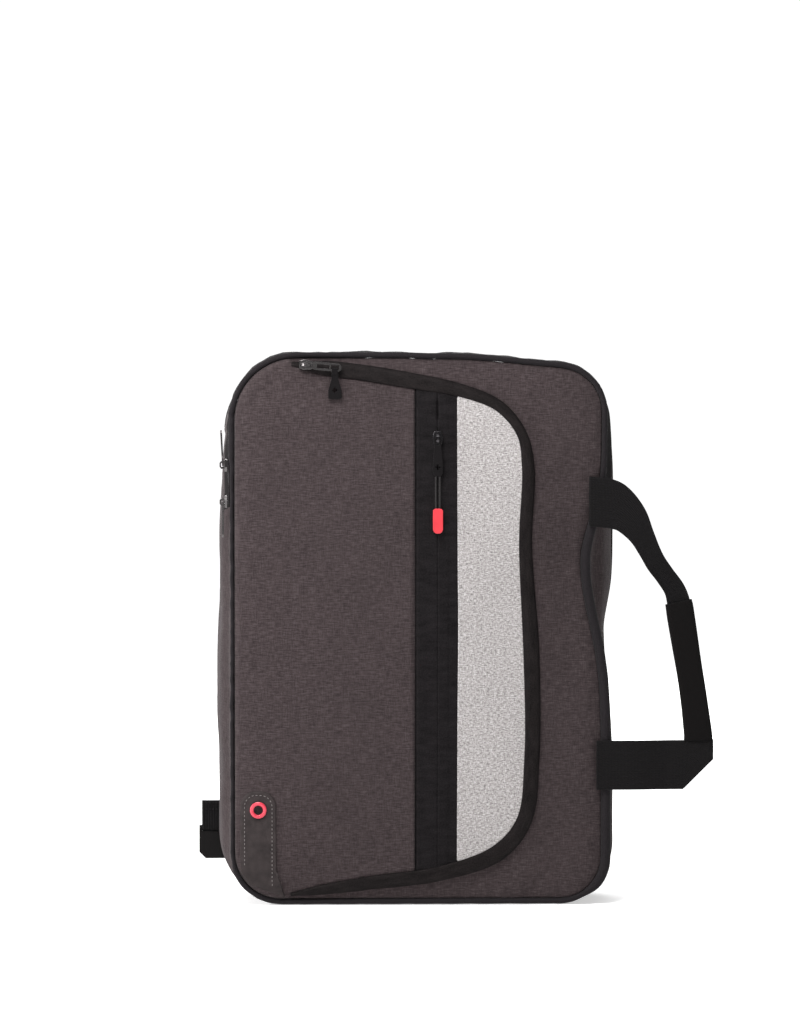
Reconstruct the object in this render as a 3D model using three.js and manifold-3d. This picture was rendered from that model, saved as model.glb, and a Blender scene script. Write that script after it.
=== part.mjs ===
// Convertible backpack that stands on its short end, in millimetres.
// +Z is up, the front faces -Y, and the origin is the middle of the base on the ground.
import * as THREE from 'three';
import { mergeVertices } from 'three/addons/utils/BufferGeometryUtils.js';
import Module from 'manifold-3d';

const wasm = await Module();
wasm.setup();

// Body
const bag_width = 286;
const bag_height = 420;
const bag_depth = 80;
const foot_lift = 3;
const rear_flare = 7.8;
const rear_rise = 0;
const top_droop = 9;
const front_crown = 9.5;
const front_roll = 2.5;
const back_crown = 6;
const back_roll = 3;
const corner_top_left = 50;
const corner_top_right = 34;
const corner_bottom_right = 34;
const corner_bottom_left = 38;
const cloth_wall = 2;
const panel_wall = 2.5;
const back_padding = 6;
const piping_radius = 2;
const clearance = 0.3;

// Front pocket
const pocket_lift = 0.5;
const pocket_wall = 2.5;
const band_wall = 3;
const strip_width = 32;
const strip_centre = 13.5;
const patch_width = 27.5;
const patch_height = 86;
const patch_inset = 6.5;
const patch_wall = 1.2;
const patch_corner = 12;
const eyelet_radius = 6.4;
const eyelet_bore = 3.6;
const eyelet_drop = 14.5;
const eyelet_crown = 0.9;
const eyelet_round = 0.5;

// Main zip
const tape_wall = 1.1;
const zip_line = -0.76;

// Carrying handle
const webbing_width = 38;
const webbing_wall = 1.8;
const handle_reach = 95;
const handle_span = 203;
const handle_low = 108;
const wrap_wall = 1.2;
const wrap_bevel = 0.35;
const wrap_room = 0.5;
const root_overlap = 12;
const handle_set_back = 5;
const set_back_start = 0.4;
const set_back_reach = 0.4;

// Tab and buckle at the lower left
const tab_width = 25;
const tab_height = 24;
const tab_wall = 1.6;
const buckle_width = 30;
const buckle_height = 26;
const buckle_wall = 5;
const buckle_rail = 2.6;
const buckle_outreach = 18;
const buckle_foot = 27;
const buckle_chamfer = 5;
const tab_corner = 1;

// Zip hardware
const slider_length = 10.5;
const slider_width = 7.8;
const slider_base = 2;
const bridge_width = 2.2;
const bridge_wall = 1.2;
const bridge_leg = 1.7;
const yoke_wall = 1.2;
const yoke_reach = 2;
const pin_side = 1.4;
const pin_room = 2.8;
const pull_length = 27;
const pull_width = 6.2;
const pull_end = 8;
const pull_taper = 2;
const pull_rail = 1.4;
const pull_frame = 1.6;
const pull_web = 1.2;
const puller_length = 21;
const puller_wall = 3;
const puller_neck = 6;
const puller_spread = 2.4;
const puller_foot = 7;
const puller_round = 1;
const loop_wall = 1.1;
const plus_arm = 2;
const plus_half = 0.7;
const strip_pull_length = 29;
const strip_pull_wall = 1.7;
const strip_pull_head = 10;
const strip_pull_foot = 7;
const strip_pull_round = 3;
const strand_radius = 0.95;
const strand_pitch = 3;
const strand_length = 24;
const tab_red_width = 7.6;
const tab_red_length = 19;
const tab_red_wall = 3.2;
const tab_red_round = 3;
const upper_pull_lean = 3;
const arc_slider_tilt = 5;

// Where the top edge droops: shares of half the width and of the height, and the power of its bend
const droop_start = -0.1;
const droop_low = 0.7;
const droop_rise = 0.25;
const droop_bend = 1.5;

// How fast a front dent fades towards the rear, and how far from each seam the base has settled
const dent_fade = 2.5;
const foot_reach = 0.2;

// Places of the sliders, as shares of the bag's height and half width
const strip_slider_shift = 1.2;
const strip_slider_up = 0.849;
const arc_slider_up = 0.983;
const arc_slider_across = -0.6;
const side_sliders = [
  { name: 'lower', up: 0.731, downward: true, lean: 0 },
  { name: 'upper', up: 0.799, downward: false, lean: upper_pull_lean },
];

const half_width = bag_width / 2;
const half_depth = bag_depth / 2;
const middle = foot_lift + bag_height / 2;

// How far the side walls have spread and sunk in, from the front seam (-1) to the rear seam (+1)
const walls = [
  { depth: -1.0, flare: 0.0 },
  { depth: -0.8, flare: 0.0 },
  { depth: -0.6, flare: 0.06 },
  { depth: -0.38, flare: 0.72 },
  { depth: -0.1, flare: 1.0 },
  { depth: 0.3, flare: 1.12 },
  { depth: 0.7, flare: 1.1 },
  { depth: 0.93, flare: 1.02 },
  { depth: 1.0, flare: 1.0 },
];

// Dents in the outline: place along the side, depth and reach as shares of the bag's height or width
const dents = [
  { side: 'right', at: 0.628, depth: 0.056, below: 0.15, above: 0.105, front: 1, rear: 0.02 },
  { side: 'right', at: 0.49, depth: 0.024, below: 0.13, above: 0.07, front: 0, rear: 1 },
  { side: 'left', at: 0.95, depth: 0.02, below: 0.075, above: 0.1, front: 0, rear: 1 },
  { side: 'left', at: 0.4, depth: -0.007, below: 0.08, above: 0.08, front: 0, rear: 1 },
  { side: 'top', at: 0.03, depth: 0.008, below: 0.05, above: 0.04, front: 0.3, rear: 1 },
];

// Where the rear seam draws in towards the front one: place and reach as shares of the bag's width and height
const pinches = [
  { across: -0.5, up: 1, wide: 0.34, tall: 0.2, share: 0.85 },
  { across: 0.5, up: 1, wide: 0.3, tall: 0.12, share: 0.6 },
];

// Shallow valleys in the front face: middle, reach and depth as shares of width, height and width
const valleys = [
  { across: 0.4, up: 0.63, wide: 0.05, tall: 0.17, deep: 0.011 },
  { across: 0.36, up: 0.13, wide: 0.09, tall: 0.06, deep: 0.006 },
];

// Centreline of the curved band: shares of half the width and of the height; its width a share of bag_width
const band_line = [
  { across: -0.678, up: 0.985, wide: 0.008 },
  { across: -0.503, up: 0.977, wide: 0.038 },
  { across: -0.308, up: 0.969, wide: 0.042 },
  { across: -0.042, up: 0.954, wide: 0.042 },
  { across: 0.238, up: 0.935, wide: 0.035 },
  { across: 0.434, up: 0.907, wide: 0.03 },
  { across: 0.552, up: 0.858, wide: 0.028 },
  { across: 0.587, up: 0.797, wide: 0.035 },
  { across: 0.573, up: 0.657, wide: 0.036 },
  { across: 0.605, up: 0.457, wide: 0.044 },
  { across: 0.608, up: 0.264, wide: 0.042 },
  { across: 0.566, up: 0.148, wide: 0.043 },
  { across: 0.427, up: 0.09, wide: 0.047 },
  { across: 0.119, up: 0.052, wide: 0.041 },
  { across: -0.266, up: 0.034, wide: 0.037 },
  { across: -0.531, up: 0.021, wide: 0.026 },
  { across: -0.685, up: 0.013, wide: 0.008 },
];

// Handle sections from the upper root to the lower one: shares of reach and span, width and wall as shares of
// the webbing's own, and the angle in degrees of the outer edge's direction
const handle_line = [
  { across: 0.0, up: 1.0, wide: 1.0, thick: 1.0, turn: 90 },
  { across: 0.19, up: 0.989, wide: 1.0, thick: 1.0, turn: 88 },
  { across: 0.29, up: 0.964, wide: 0.89, thick: 1.2, turn: 76 },
  { across: 0.396, up: 0.907, wide: 0.72, thick: 1.5, turn: 66 },
  { across: 0.465, up: 0.84, wide: 0.55, thick: 1.8, turn: 58 },
  { across: 0.534, up: 0.773, wide: 0.45, thick: 2.1, turn: 50 },
  { across: 0.61, up: 0.722, wide: 0.41, thick: 2.1, turn: 42 },
  { across: 0.69, up: 0.668, wide: 0.43, thick: 2.1, turn: 26 },
  { across: 0.726, up: 0.618, wide: 0.47, thick: 2.1, turn: 12 },
  { across: 0.75, up: 0.55, wide: 0.47, thick: 2.1, turn: 9 },
  { across: 0.795, up: 0.42, wide: 0.47, thick: 2.1, turn: 9 },
  { across: 0.84, up: 0.29, wide: 0.47, thick: 2.1, turn: 8 },
  { across: 0.874, up: 0.17, wide: 0.47, thick: 2.1, turn: 6 },
  { across: 0.889, up: 0.095, wide: 0.5, thick: 2.1, turn: 2 },
  { across: 0.868, up: 0.05, wide: 0.62, thick: 2.0, turn: -27 },
  { across: 0.774, up: 0.026, wide: 0.86, thick: 1.6, turn: -62 },
  { across: 0.7, up: 0.01, wide: 1.0, thick: 1.0, turn: -82 },
  { across: 0.49, up: 0.005, wide: 0.98, thick: 1.0, turn: -90 },
  { across: 0.19, up: 0.0, wide: 1.0, thick: 1.0, turn: -90 },
  { across: 0.063, up: 0.0, wide: 1.0, thick: 1.0, turn: -90 },
];
const wrap_first = 8;
const wrap_last = 13;

// Half plan of a slider and of a rounded end: shares of half the length or of the rounding,
// and of half the width
const slider_plan = [
  { along: -1, across: 0.7 },
  { along: -0.3, across: 1 },
  { along: 0.8, across: 0.8 },
  { along: 1, across: 0.4 },
];
const end_plan = [
  { along: 1, across: 1 },
  { along: 0.3, across: 0.78 },
  { along: 0, across: 0.4 },
];

// Straight stretches of the outline are cut into these many steps, and each corner into corner_steps
const corner_steps = 6;
const side_steps = { bottom: 5, right: 15, top: 9, left: 10 };

// General helpers

function group_mesh(name, geometry, colour, roughness, metalness = 0) {
  const material = new THREE.MeshStandardMaterial({ color: colour, roughness, metalness });
  const mesh = new THREE.Mesh(geometry, material);
  mesh.name = name;
  return mesh;
}

function signed_volume(points, faces) {
  let sum = 0;
  for (const [a, b, c] of faces) {
    sum += points[a].dot(new THREE.Vector3().crossVectors(points[b], points[c]));
  }
  return sum / 6;
}

function closed_geometry(points, faces) {
  const outward = signed_volume(points, faces) > 0;
  const geometry = new THREE.BufferGeometry();
  geometry.setAttribute('position', new THREE.Float32BufferAttribute(points.flatMap((p) => p.toArray()), 3));
  geometry.setIndex(faces.flatMap(([a, b, c]) => (outward ? [a, b, c] : [a, c, b])));
  return geometry;
}

// Skin over equal rings of points. A loop of rings closes on itself; otherwise both ends are capped by a ladder
// between the first half of the ring and its second half.
function loft(rings, loop = false) {
  const sides = rings[0].length;
  const points = rings.flat();
  const faces = [];
  const last = loop ? rings.length : rings.length - 1;
  for (let r = 0; r < last; r++) {
    const here = r * sides;
    const next = ((r + 1) % rings.length) * sides;
    for (let k = 0; k < sides; k++) {
      const m = (k + 1) % sides;
      faces.push([here + k, here + m, next + m]);
      faces.push([here + k, next + m, next + k]);
    }
  }
  if (!loop) {
    const end = (rings.length - 1) * sides;
    for (let k = 0; k < sides / 2 - 1; k++) {
      const far = sides - 1 - k;
      faces.push([k, far - 1, k + 1]);
      faces.push([k, far, far - 1]);
      faces.push([end + k, end + k + 1, end + far - 1]);
      faces.push([end + k, end + far - 1, end + far]);
    }
  }
  return closed_geometry(points, faces);
}

function solid(geometry) {
  let bare = geometry.clone();
  bare.deleteAttribute('normal');
  bare.deleteAttribute('uv');
  bare = mergeVertices(bare, 1e-4);
  const vertProperties = new Float32Array(bare.attributes.position.array);
  const triVerts = new Uint32Array(bare.index.array);
  return new wasm.Manifold(new wasm.Mesh({ numProp: 3, vertProperties, triVerts }));
}

function geometry_of(body) {
  const mesh = body.getMesh();
  const geometry = new THREE.BufferGeometry();
  geometry.setAttribute('position', new THREE.BufferAttribute(new Float32Array(mesh.vertProperties), 3));
  geometry.setIndex(new THREE.BufferAttribute(new Uint32Array(mesh.triVerts), 1));
  return geometry;
}

function interpolate(rows, key, value, column) {
  let k = 0;
  while (k < rows.length - 2 && value > rows[k + 1][key]) k++;
  const share = (value - rows[k][key]) / (rows[k + 1][key] - rows[k][key]);
  return rows[k][column] + (rows[k + 1][column] - rows[k][column]) * share;
}

function smooth(value) {
  const share = Math.min(1, Math.max(0, value));
  return share * share * (3 - 2 * share);
}

function bell(offset, below, above) {
  const share = offset / (offset < 0 ? below : above);
  return Math.exp(-share * share);
}

// Outline of the bag at one depth share, as points with their outward direction

function outline_at(depth) {
  const flare = interpolate(walls, 'depth', depth, 'flare');
  const spread = rear_flare * flare;
  const half = half_width + spread;
  const low = foot_lift;
  const high = foot_lift + bag_height + rear_rise * flare;
  const corners = [
    { x: half, z: low, r: corner_bottom_right + spread, from: -90, next: 'right' },
    { x: half, z: high, r: corner_top_right + spread, from: 0, next: 'top' },
    { x: -half, z: high, r: corner_top_left + spread, from: 90, next: 'left' },
    { x: -half, z: low, r: corner_bottom_left + spread, from: 180, next: 'bottom' },
  ];
  const points = [];
  corners.forEach((corner, c) => {
    const centre_x = corner.x - Math.sign(corner.x) * corner.r;
    const centre_z = corner.z + (corner.z === low ? corner.r : -corner.r);
    for (let k = 0; k <= corner_steps; k++) {
      const angle = THREE.MathUtils.degToRad(corner.from + (90 * k) / corner_steps);
      const nx = Math.cos(angle);
      const nz = Math.sin(angle);
      points.push({ x: centre_x + corner.r * nx, z: centre_z + corner.r * nz, nx, nz, side: 'corner' });
    }
    const start = points[points.length - 1];
    const after = corners[(c + 1) % 4];
    const level = corner.next === 'top' || corner.next === 'bottom';
    const end_x = after.x - Math.sign(after.x) * after.r * level;
    const end_z = after.z + (after.z === low ? 1 : -1) * after.r * !level;
    const steps = side_steps[corner.next];
    for (let k = 1; k < steps; k++) {
      const share = k / steps;
      const x = start.x + (end_x - start.x) * share;
      const z = start.z + (end_z - start.z) * share;
      points.push({ x, z, nx: start.nx, nz: start.nz, side: corner.next });
    }
  });
  return points.map((p) => dented(p, depth, half));
}

function dented(point, depth, half) {
  const front_share = ((1 - depth) / 2) ** dent_fade;
  let inward = 0;
  for (const dent of dents) {
    if (dent.side !== point.side) continue;
    const place = dent.side === 'top' ? point.x / bag_width : point.z / bag_height;
    const weight = dent.front * front_share + dent.rear * (1 - front_share);
    inward += bag_width * dent.depth * weight * bell(place - dent.at, dent.below, dent.above);
  }
  const flare = interpolate(walls, 'depth', depth, 'flare');
  for (const pinch of pinches) {
    const across = (point.x / bag_width - pinch.across) / pinch.wide;
    const up = (point.z / bag_height - pinch.up) / pinch.tall;
    inward += rear_flare * flare * pinch.share * Math.exp(-across * across - up * up);
  }
  const across = smooth((point.x / half - droop_start) / (1 - droop_start)) ** droop_bend;
  const droop = top_droop * across * smooth((point.z / bag_height - droop_low) / droop_rise);
  const x = point.x - point.nx * inward;
  const z = Math.max(0, point.z - point.nz * inward - droop - foot_sag(depth, point));
  return { x, z, nx: point.nx, nz: point.nz, side: point.side };
}

// The base settles on the ground between the two seams
function foot_sag(depth, point) {
  const drop = foot_lift - cloth_wall / 2;
  return point.nz < 0 ? drop * point.nz ** 4 * smooth((1 - Math.abs(depth)) / foot_reach) : 0;
}

const front_outline = outline_at(-1);
const rear_outline = outline_at(1);

function inset(outline, distance) {
  return outline.map((p) => ({ x: p.x - p.nx * distance, z: p.z - p.nz * distance }));
}

const seam_inset = piping_radius + clearance;
const front_edge = inset(front_outline, seam_inset);
const rear_edge = inset(rear_outline, seam_inset);

// Crowned faces. A share of 0 is the middle of the face and 1 its sewn edge.

function front_height(share, x, z) {
  let height = front_crown * (1 - share ** 2.4) + front_roll * (1 - share ** 20);
  for (const valley of valleys) {
    const across = (x / bag_width - valley.across) / valley.wide;
    const up = (z / bag_height - valley.up) / valley.tall;
    height -= bag_width * valley.deep * Math.exp(-across * across - up * up);
  }
  return height;
}

function back_height(share) {
  return back_crown * (1 - share ** 2.6) + back_roll * (1 - share ** 20);
}

const front_rings = [0.35, 0.62, 0.82, 0.94, 1];
const back_rings = [0.45, 0.78, 0.94, 1];

// Closed slab between two offsets from a crowned face
function slab(edge, shares, height, sign, inner, outer) {
  const points = [];
  const faces = [];
  const sides = edge.length;
  for (const offset of [inner, outer]) {
    points.push(new THREE.Vector3(0, sign * (half_depth + height(0, 0, middle) + offset), middle));
    for (const share of shares) {
      for (const p of edge) {
        const x = p.x * share;
        const z = middle + (p.z - middle) * share;
        points.push(new THREE.Vector3(x, sign * (half_depth + height(share, x, z) + offset), z));
      }
    }
  }
  const layer = 1 + shares.length * sides;
  for (let side = 0; side < 2; side++) {
    const base = side * layer;
    const add = (a, b, c) => faces.push(side ? [a, b, c] : [a, c, b]);
    for (let k = 0; k < sides; k++) {
      const m = (k + 1) % sides;
      add(base, base + 1 + k, base + 1 + m);
      for (let r = 0; r < shares.length - 1; r++) {
        const here = base + 1 + r * sides;
        add(here + k, here + sides + k, here + sides + m);
        add(here + k, here + sides + m, here + m);
      }
    }
  }
  const rim = 1 + (shares.length - 1) * sides;
  for (let k = 0; k < sides; k++) {
    const m = (k + 1) % sides;
    faces.push([rim + k, layer + rim + m, layer + rim + k]);
    faces.push([rim + k, rim + m, layer + rim + m]);
  }
  return closed_geometry(points, faces);
}

// Share of the way from the middle of a face to its edge at a point of the face
function share_on(edge, x, z) {
  for (let k = 0; k < edge.length; k++) {
    const a = edge[k];
    const b = edge[(k + 1) % edge.length];
    const az = a.z - middle;
    const bz = b.z - middle;
    const cross = a.x * bz - az * b.x;
    const along_a = (x * bz - (z - middle) * b.x) / cross;
    const along_b = (a.x * (z - middle) - az * x) / cross;
    if (along_a >= 0 && along_b >= 0) return along_a + along_b;
  }
  return 0;
}

// The proudest point of a face under a rectangle, as a positive distance from the middle of the bag
function seat_on(edge, height, x_low, x_high, z_low, z_high) {
  let seat = 0;
  for (const x of [x_low, (x_low + x_high) / 2, x_high]) {
    for (const z of [z_low, (z_low + z_high) / 2, z_high]) {
      const share = Math.min(1, share_on(edge, x, z));
      seat = Math.max(seat, half_depth + height(share, x, z));
    }
  }
  return seat;
}

function front_seat(x_low, x_high, z_low, z_high) {
  return seat_on(front_edge, front_height, x_low, x_high, z_low, z_high);
}

// Prism that cuts the front layers to an outline drawn on the face
function prism(shape) {
  const deep = bag_depth;
  const geometry = new THREE.ExtrudeGeometry(shape, { depth: deep, bevelEnabled: false, curveSegments: 8 });
  geometry.rotateX(Math.PI / 2);
  return solid(geometry);
}

function shape_of(points) {
  return new THREE.Shape(points.map((p) => new THREE.Vector2(p.x, p.z)));
}

function rectangle(x_low, x_high, z_low, z_high) {
  return shape_of([
    { x: x_low, z: z_low },
    { x: x_high, z: z_low },
    { x: x_high, z: z_high },
    { x: x_low, z: z_high },
  ]);
}

// Curved band and the fields that it encloses

const band_curve = new THREE.CatmullRomCurve3(
  band_line.map((row) => new THREE.Vector3(row.across * half_width, 0, row.up * bag_height + foot_lift)),
  false,
  'centripetal',
);
const band_steps = 38;

function band_edges(extra) {
  const inner = [];
  const outer = [];
  for (let k = 0; k <= band_steps; k++) {
    const t = k / band_steps;
    const point = band_curve.getPoint(t);
    const tangent = band_curve.getTangent(t);
    const place = t * (band_line.length - 1);
    const row = Math.min(Math.floor(place), band_line.length - 2);
    const wide = band_line[row].wide + (band_line[row + 1].wide - band_line[row].wide) * (place - row);
    const half = (wide * bag_width) / 2 + extra;
    const side_x = -tangent.z;
    const side_z = tangent.x;
    outer.push({ x: point.x + side_x * half, z: point.z + side_z * half });
    inner.push({ x: point.x - side_x * half, z: point.z - side_z * half });
  }
  return { inner, outer };
}

function pocket_region() {
  const { inner } = band_edges(clearance);
  const far = bag_width;
  const first = inner[0];
  const last = inner[inner.length - 1];
  return shape_of([
    { x: -far, z: 2 * bag_height },
    { x: first.x, z: 2 * bag_height },
    ...inner,
    { x: last.x, z: -bag_height },
    { x: -far, z: -bag_height },
  ]);
}

function front_slab(inner, outer) {
  return solid(slab(front_edge, front_rings, front_height, -1, inner, outer));
}

function pocket_fields() {
  const layer = front_slab(pocket_lift, pocket_lift + pocket_wall).intersect(prism(pocket_region()));
  const left = strip_centre - strip_width / 2;
  const right = strip_centre + strip_width / 2;
  const gap = clearance / 2;
  const far = bag_width;
  const tall = 2 * bag_height;
  const field = (x_low, x_high) => geometry_of(layer.intersect(prism(rectangle(x_low, x_high, -tall, tall))));
  return {
    pocket_panel: field(-far, left - gap),
    zip_strip: field(left + gap, right - gap),
    light_panel: field(right + gap, far),
  };
}

function pocket_band() {
  const { inner, outer } = band_edges(0);
  const shape = shape_of([...outer, ...inner.reverse()]);
  return geometry_of(front_slab(pocket_lift, pocket_lift + band_wall).intersect(prism(shape)));
}

const patch_left = -half_width + patch_inset;
const patch_right = patch_left + patch_width;
const patch_top = foot_lift + patch_height;
const eyelet_x = (patch_left + patch_right) / 2;
const eyelet_z = patch_top - eyelet_drop;
const patch_floor = pocket_lift + pocket_wall + clearance;

function corner_patch() {
  const shape = new THREE.Shape();
  shape.moveTo(patch_left, -foot_lift);
  shape.lineTo(patch_right, -foot_lift);
  shape.lineTo(patch_right, patch_top - patch_corner);
  shape.absarc(patch_right - patch_corner, patch_top - patch_corner, patch_corner, 0, Math.PI / 2);
  shape.absarc(patch_left + patch_corner, patch_top - patch_corner, patch_corner, Math.PI / 2, Math.PI);
  shape.lineTo(patch_left, -foot_lift);
  const hole = new THREE.Path();
  hole.absarc(eyelet_x, eyelet_z, eyelet_radius - patch_wall, 0, 2 * Math.PI, true);
  shape.holes.push(hole);
  return geometry_of(front_slab(patch_floor, patch_floor + patch_wall).intersect(prism(shape)));
}

// Flanged ring whose barrel passes through the patch
function eyelet() {
  const barrel = eyelet_radius - patch_wall - clearance;
  const rise = patch_wall + clearance;
  const profile = [
    new THREE.Vector2(eyelet_bore, 0),
    new THREE.Vector2(barrel, 0),
    new THREE.Vector2(barrel, rise),
    new THREE.Vector2(eyelet_radius, rise),
    new THREE.Vector2(eyelet_radius - eyelet_round, rise + eyelet_crown),
    new THREE.Vector2(eyelet_bore + eyelet_round, rise + eyelet_crown),
    new THREE.Vector2(eyelet_bore, rise + eyelet_crown / 2),
    new THREE.Vector2(eyelet_bore, 0),
  ];
  const geometry = new THREE.LatheGeometry(profile, 16);
  geometry.rotateX(Math.PI);
  const span = eyelet_radius;
  const seat = front_seat(eyelet_x - span, eyelet_x + span, eyelet_z - span, eyelet_z + span);
  geometry.translate(eyelet_x, -(seat + patch_floor), eyelet_z);
  return mergeVertices(stripped(geometry), 1e-4);
}

function stripped(geometry) {
  geometry.deleteAttribute('normal');
  geometry.deleteAttribute('uv');
  return geometry;
}

// Round piping along an outline
function piping(outline, y) {
  const sides = 6;
  const rings = outline.map((p) => {
    const ring = [];
    for (let k = 0; k < sides; k++) {
      const angle = (2 * Math.PI * (k + 0.5)) / sides;
      const out = piping_radius * Math.cos(angle);
      ring.push(new THREE.Vector3(p.x + p.nx * out, y + piping_radius * Math.sin(angle), p.z + p.nz * out));
    }
    return ring;
  });
  return loft(rings, true);
}

// Gusset: a hollow ring of cloth between the piping of the two seams
const gusset_end = 1 - (piping_radius + clearance) / half_depth;
const gusset_rows = [-gusset_end, -0.8, -0.6, -0.38, -0.1, 0.3, 0.7, gusset_end];
const lining_rows = [gusset_end, 0.5, -0.1, -0.38, -0.6, -gusset_end];

function gusset_wall(depth, lift) {
  const out = lift + cloth_wall / 2;
  const ground = lift < 0 ? cloth_wall : 0;
  return outline_at(depth).map((p) => {
    const z = Math.max(ground, p.z + p.nz * out);
    return new THREE.Vector3(p.x + p.nx * out, depth * half_depth, z);
  });
}

function gusset() {
  const outer = gusset_rows.map((depth) => gusset_wall(depth, 0));
  const inner = lining_rows.map((depth) => gusset_wall(depth, -cloth_wall));
  return loft([...outer, ...inner], true);
}

// Tape of the main zip: a skin on the gusset over part of its length
const tape_rows = [-gusset_end, -0.8, -0.6, -0.38];
const tape_end_right = 0.74;
const tape_end_left = 0.72;

function main_zip() {
  const stations = front_outline.map((p, k) => k).filter((k) => on_zip(front_outline[k]));
  const lower = tape_rows.map((depth) => gusset_wall(depth, clearance));
  const upper = tape_rows.map((depth) => gusset_wall(depth, clearance + tape_wall)).reverse();
  const rows = [...lower, ...upper];
  return loft(stations.map((k) => rows.map((row) => row[k])));
}

function on_zip(point) {
  const share = point.z / bag_height;
  return share > (point.x > 0 ? tape_end_right : tape_end_left);
}

// Outline mirrored about the X axis, from its upper half
function mirrored(upper_half) {
  const lower = upper_half.map(([x, y]) => new THREE.Vector2(x, -y));
  const upper = lower.map((p) => new THREE.Vector2(p.x, -p.y)).reverse();
  return new THREE.Shape([...lower, ...upper]);
}

function rounded_end(length, rounding, half) {
  return end_plan.map((row) => [length - row.along * rounding, row.across * half]);
}

function plate(shape, wall) {
  const geometry = new THREE.ExtrudeGeometry(shape, { depth: wall, bevelEnabled: false });
  geometry.translate(0, 0, -wall / 2);
  return mergeVertices(stripped(geometry), 1e-4);
}

function window_path(x_low, x_high, half) {
  return new THREE.Path([
    new THREE.Vector2(x_low, -half),
    new THREE.Vector2(x_low, half),
    new THREE.Vector2(x_high, half),
    new THREE.Vector2(x_high, -half),
    new THREE.Vector2(x_low, -half),
  ]);
}

// Plus-shaped opening in a puller
function plus_path(x) {
  const long = plus_arm;
  const wide = plus_half;
  const corners = [
    [-wide, -long], [-wide, -wide], [-long, -wide], [-long, wide], [-wide, wide], [-wide, long],
    [wide, long], [wide, wide], [long, wide], [long, -wide], [wide, -wide], [wide, -long], [-wide, -long],
  ];
  return new THREE.Path(corners.map(([dx, dy]) => new THREE.Vector2(x + dx, dy)));
}

// Slider: a nosed plate with a bridge over the pull's pin. +X is the way the pull points, +Z is off the tape.
const pin_height = slider_base + pin_room / 2;

function slider() {
  const half = slider_width / 2;
  const nose = slider_length / 2;
  const plan = mirrored(slider_plan.map((row) => [row.along * nose, row.across * half]));
  const base = new THREE.ExtrudeGeometry(plan, { depth: slider_base, bevelEnabled: false });
  const room = pin_room / 2;
  const leg = room + bridge_leg;
  const arch = new THREE.Shape();
  arch.moveTo(-leg, slider_base / 2);
  arch.lineTo(leg, slider_base / 2);
  arch.lineTo(leg, pin_height + room);
  arch.lineTo(room, pin_height + room + bridge_wall);
  arch.lineTo(-room, pin_height + room + bridge_wall);
  arch.lineTo(-leg, pin_height + room);
  arch.closePath();
  const eye = new THREE.Path();
  eye.moveTo(-room, slider_base);
  eye.lineTo(-room, pin_height + room);
  eye.lineTo(room, pin_height + room);
  eye.lineTo(room, slider_base);
  eye.closePath();
  arch.holes.push(eye);
  const bridge = new THREE.ExtrudeGeometry(arch, { depth: bridge_width, bevelEnabled: false });
  bridge.translate(0, 0, -bridge_width / 2);
  bridge.rotateX(Math.PI / 2);
  return geometry_of(solid(base).add(solid(bridge)));
}

// Metal pull: a flat frame with a yoke for the bridge, a long window and a square eye. Its pin is at the origin.
const yoke = pin_room / 2 + bridge_leg + yoke_reach;
const yoke_half = bridge_width / 2 + clearance;
const eye_low = pull_length - pull_end;
const eye_high = pull_length - pull_taper;

function metal_pull() {
  const half = pull_width / 2;
  const shape = mirrored([
    [-pin_side / 2, yoke_half + yoke_wall],
    [yoke, yoke_half + yoke_wall],
    [yoke + pull_taper, half],
    [eye_high, half],
    [pull_length, half / 2],
  ]);
  shape.holes.push(window_path(pin_side / 2, yoke, yoke_half));
  shape.holes.push(window_path(yoke + pull_taper + pull_web, eye_low - pull_web, half - pull_frame));
  shape.holes.push(window_path(eye_low, eye_high, half - pull_rail));
  return plate(shape, pin_side);
}

// Local frames: +X along the pull, +Z off the surface
function place(object, origin, along, off) {
  const across = new THREE.Vector3().crossVectors(off, along);
  const matrix = new THREE.Matrix4().makeBasis(along, across, off);
  object.quaternion.setFromRotationMatrix(matrix);
  object.position.copy(origin);
  return object;
}

const up = new THREE.Vector3(0, 0, 1);
const down = new THREE.Vector3(0, 0, -1);
const right = new THREE.Vector3(1, 0, 0);
const outward_left = new THREE.Vector3(-1, 0, 0);
const forward = new THREE.Vector3(0, -1, 0);

const black = 0x262425;
const metal = 0x8d8a8a;

// Arc zip: slider and pull at the upper left of the band, with a rubber puller hung in the pull's eye
function arc_zip(group) {
  const x = arc_slider_across * half_width;
  const z = arc_slider_up * bag_height + foot_lift;
  const half = slider_width / 2;
  const seat = front_seat(x - slider_length / 2, x + pull_length, z - half, z + half);
  const reach = puller_length + pull_width;
  const puller_seat = front_seat(x + eye_low, x + pull_length, z - reach, z) + pocket_lift + pocket_wall;
  const band_floor = seat + pocket_lift + band_wall + clearance;
  const floor = Math.max(band_floor, puller_seat + clearance + puller_wall / 2 - pin_height);
  const origin = new THREE.Vector3(x, -floor, z);
  const tilt = THREE.MathUtils.degToRad(arc_slider_tilt);
  const along = new THREE.Vector3(Math.cos(tilt), 0, -Math.sin(tilt));
  group.add(place(group_mesh('arc_slider', slider(), metal, 0.35, 0.9), origin, along, forward));
  const pin = origin.clone().addScaledVector(forward, pin_height);
  group.add(place(group_mesh('arc_pull', metal_pull(), metal, 0.35, 0.9), pin, along, forward));
  group.add(arc_puller(pin.clone().addScaledVector(along, (eye_low + eye_high) / 2)));
}

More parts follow.
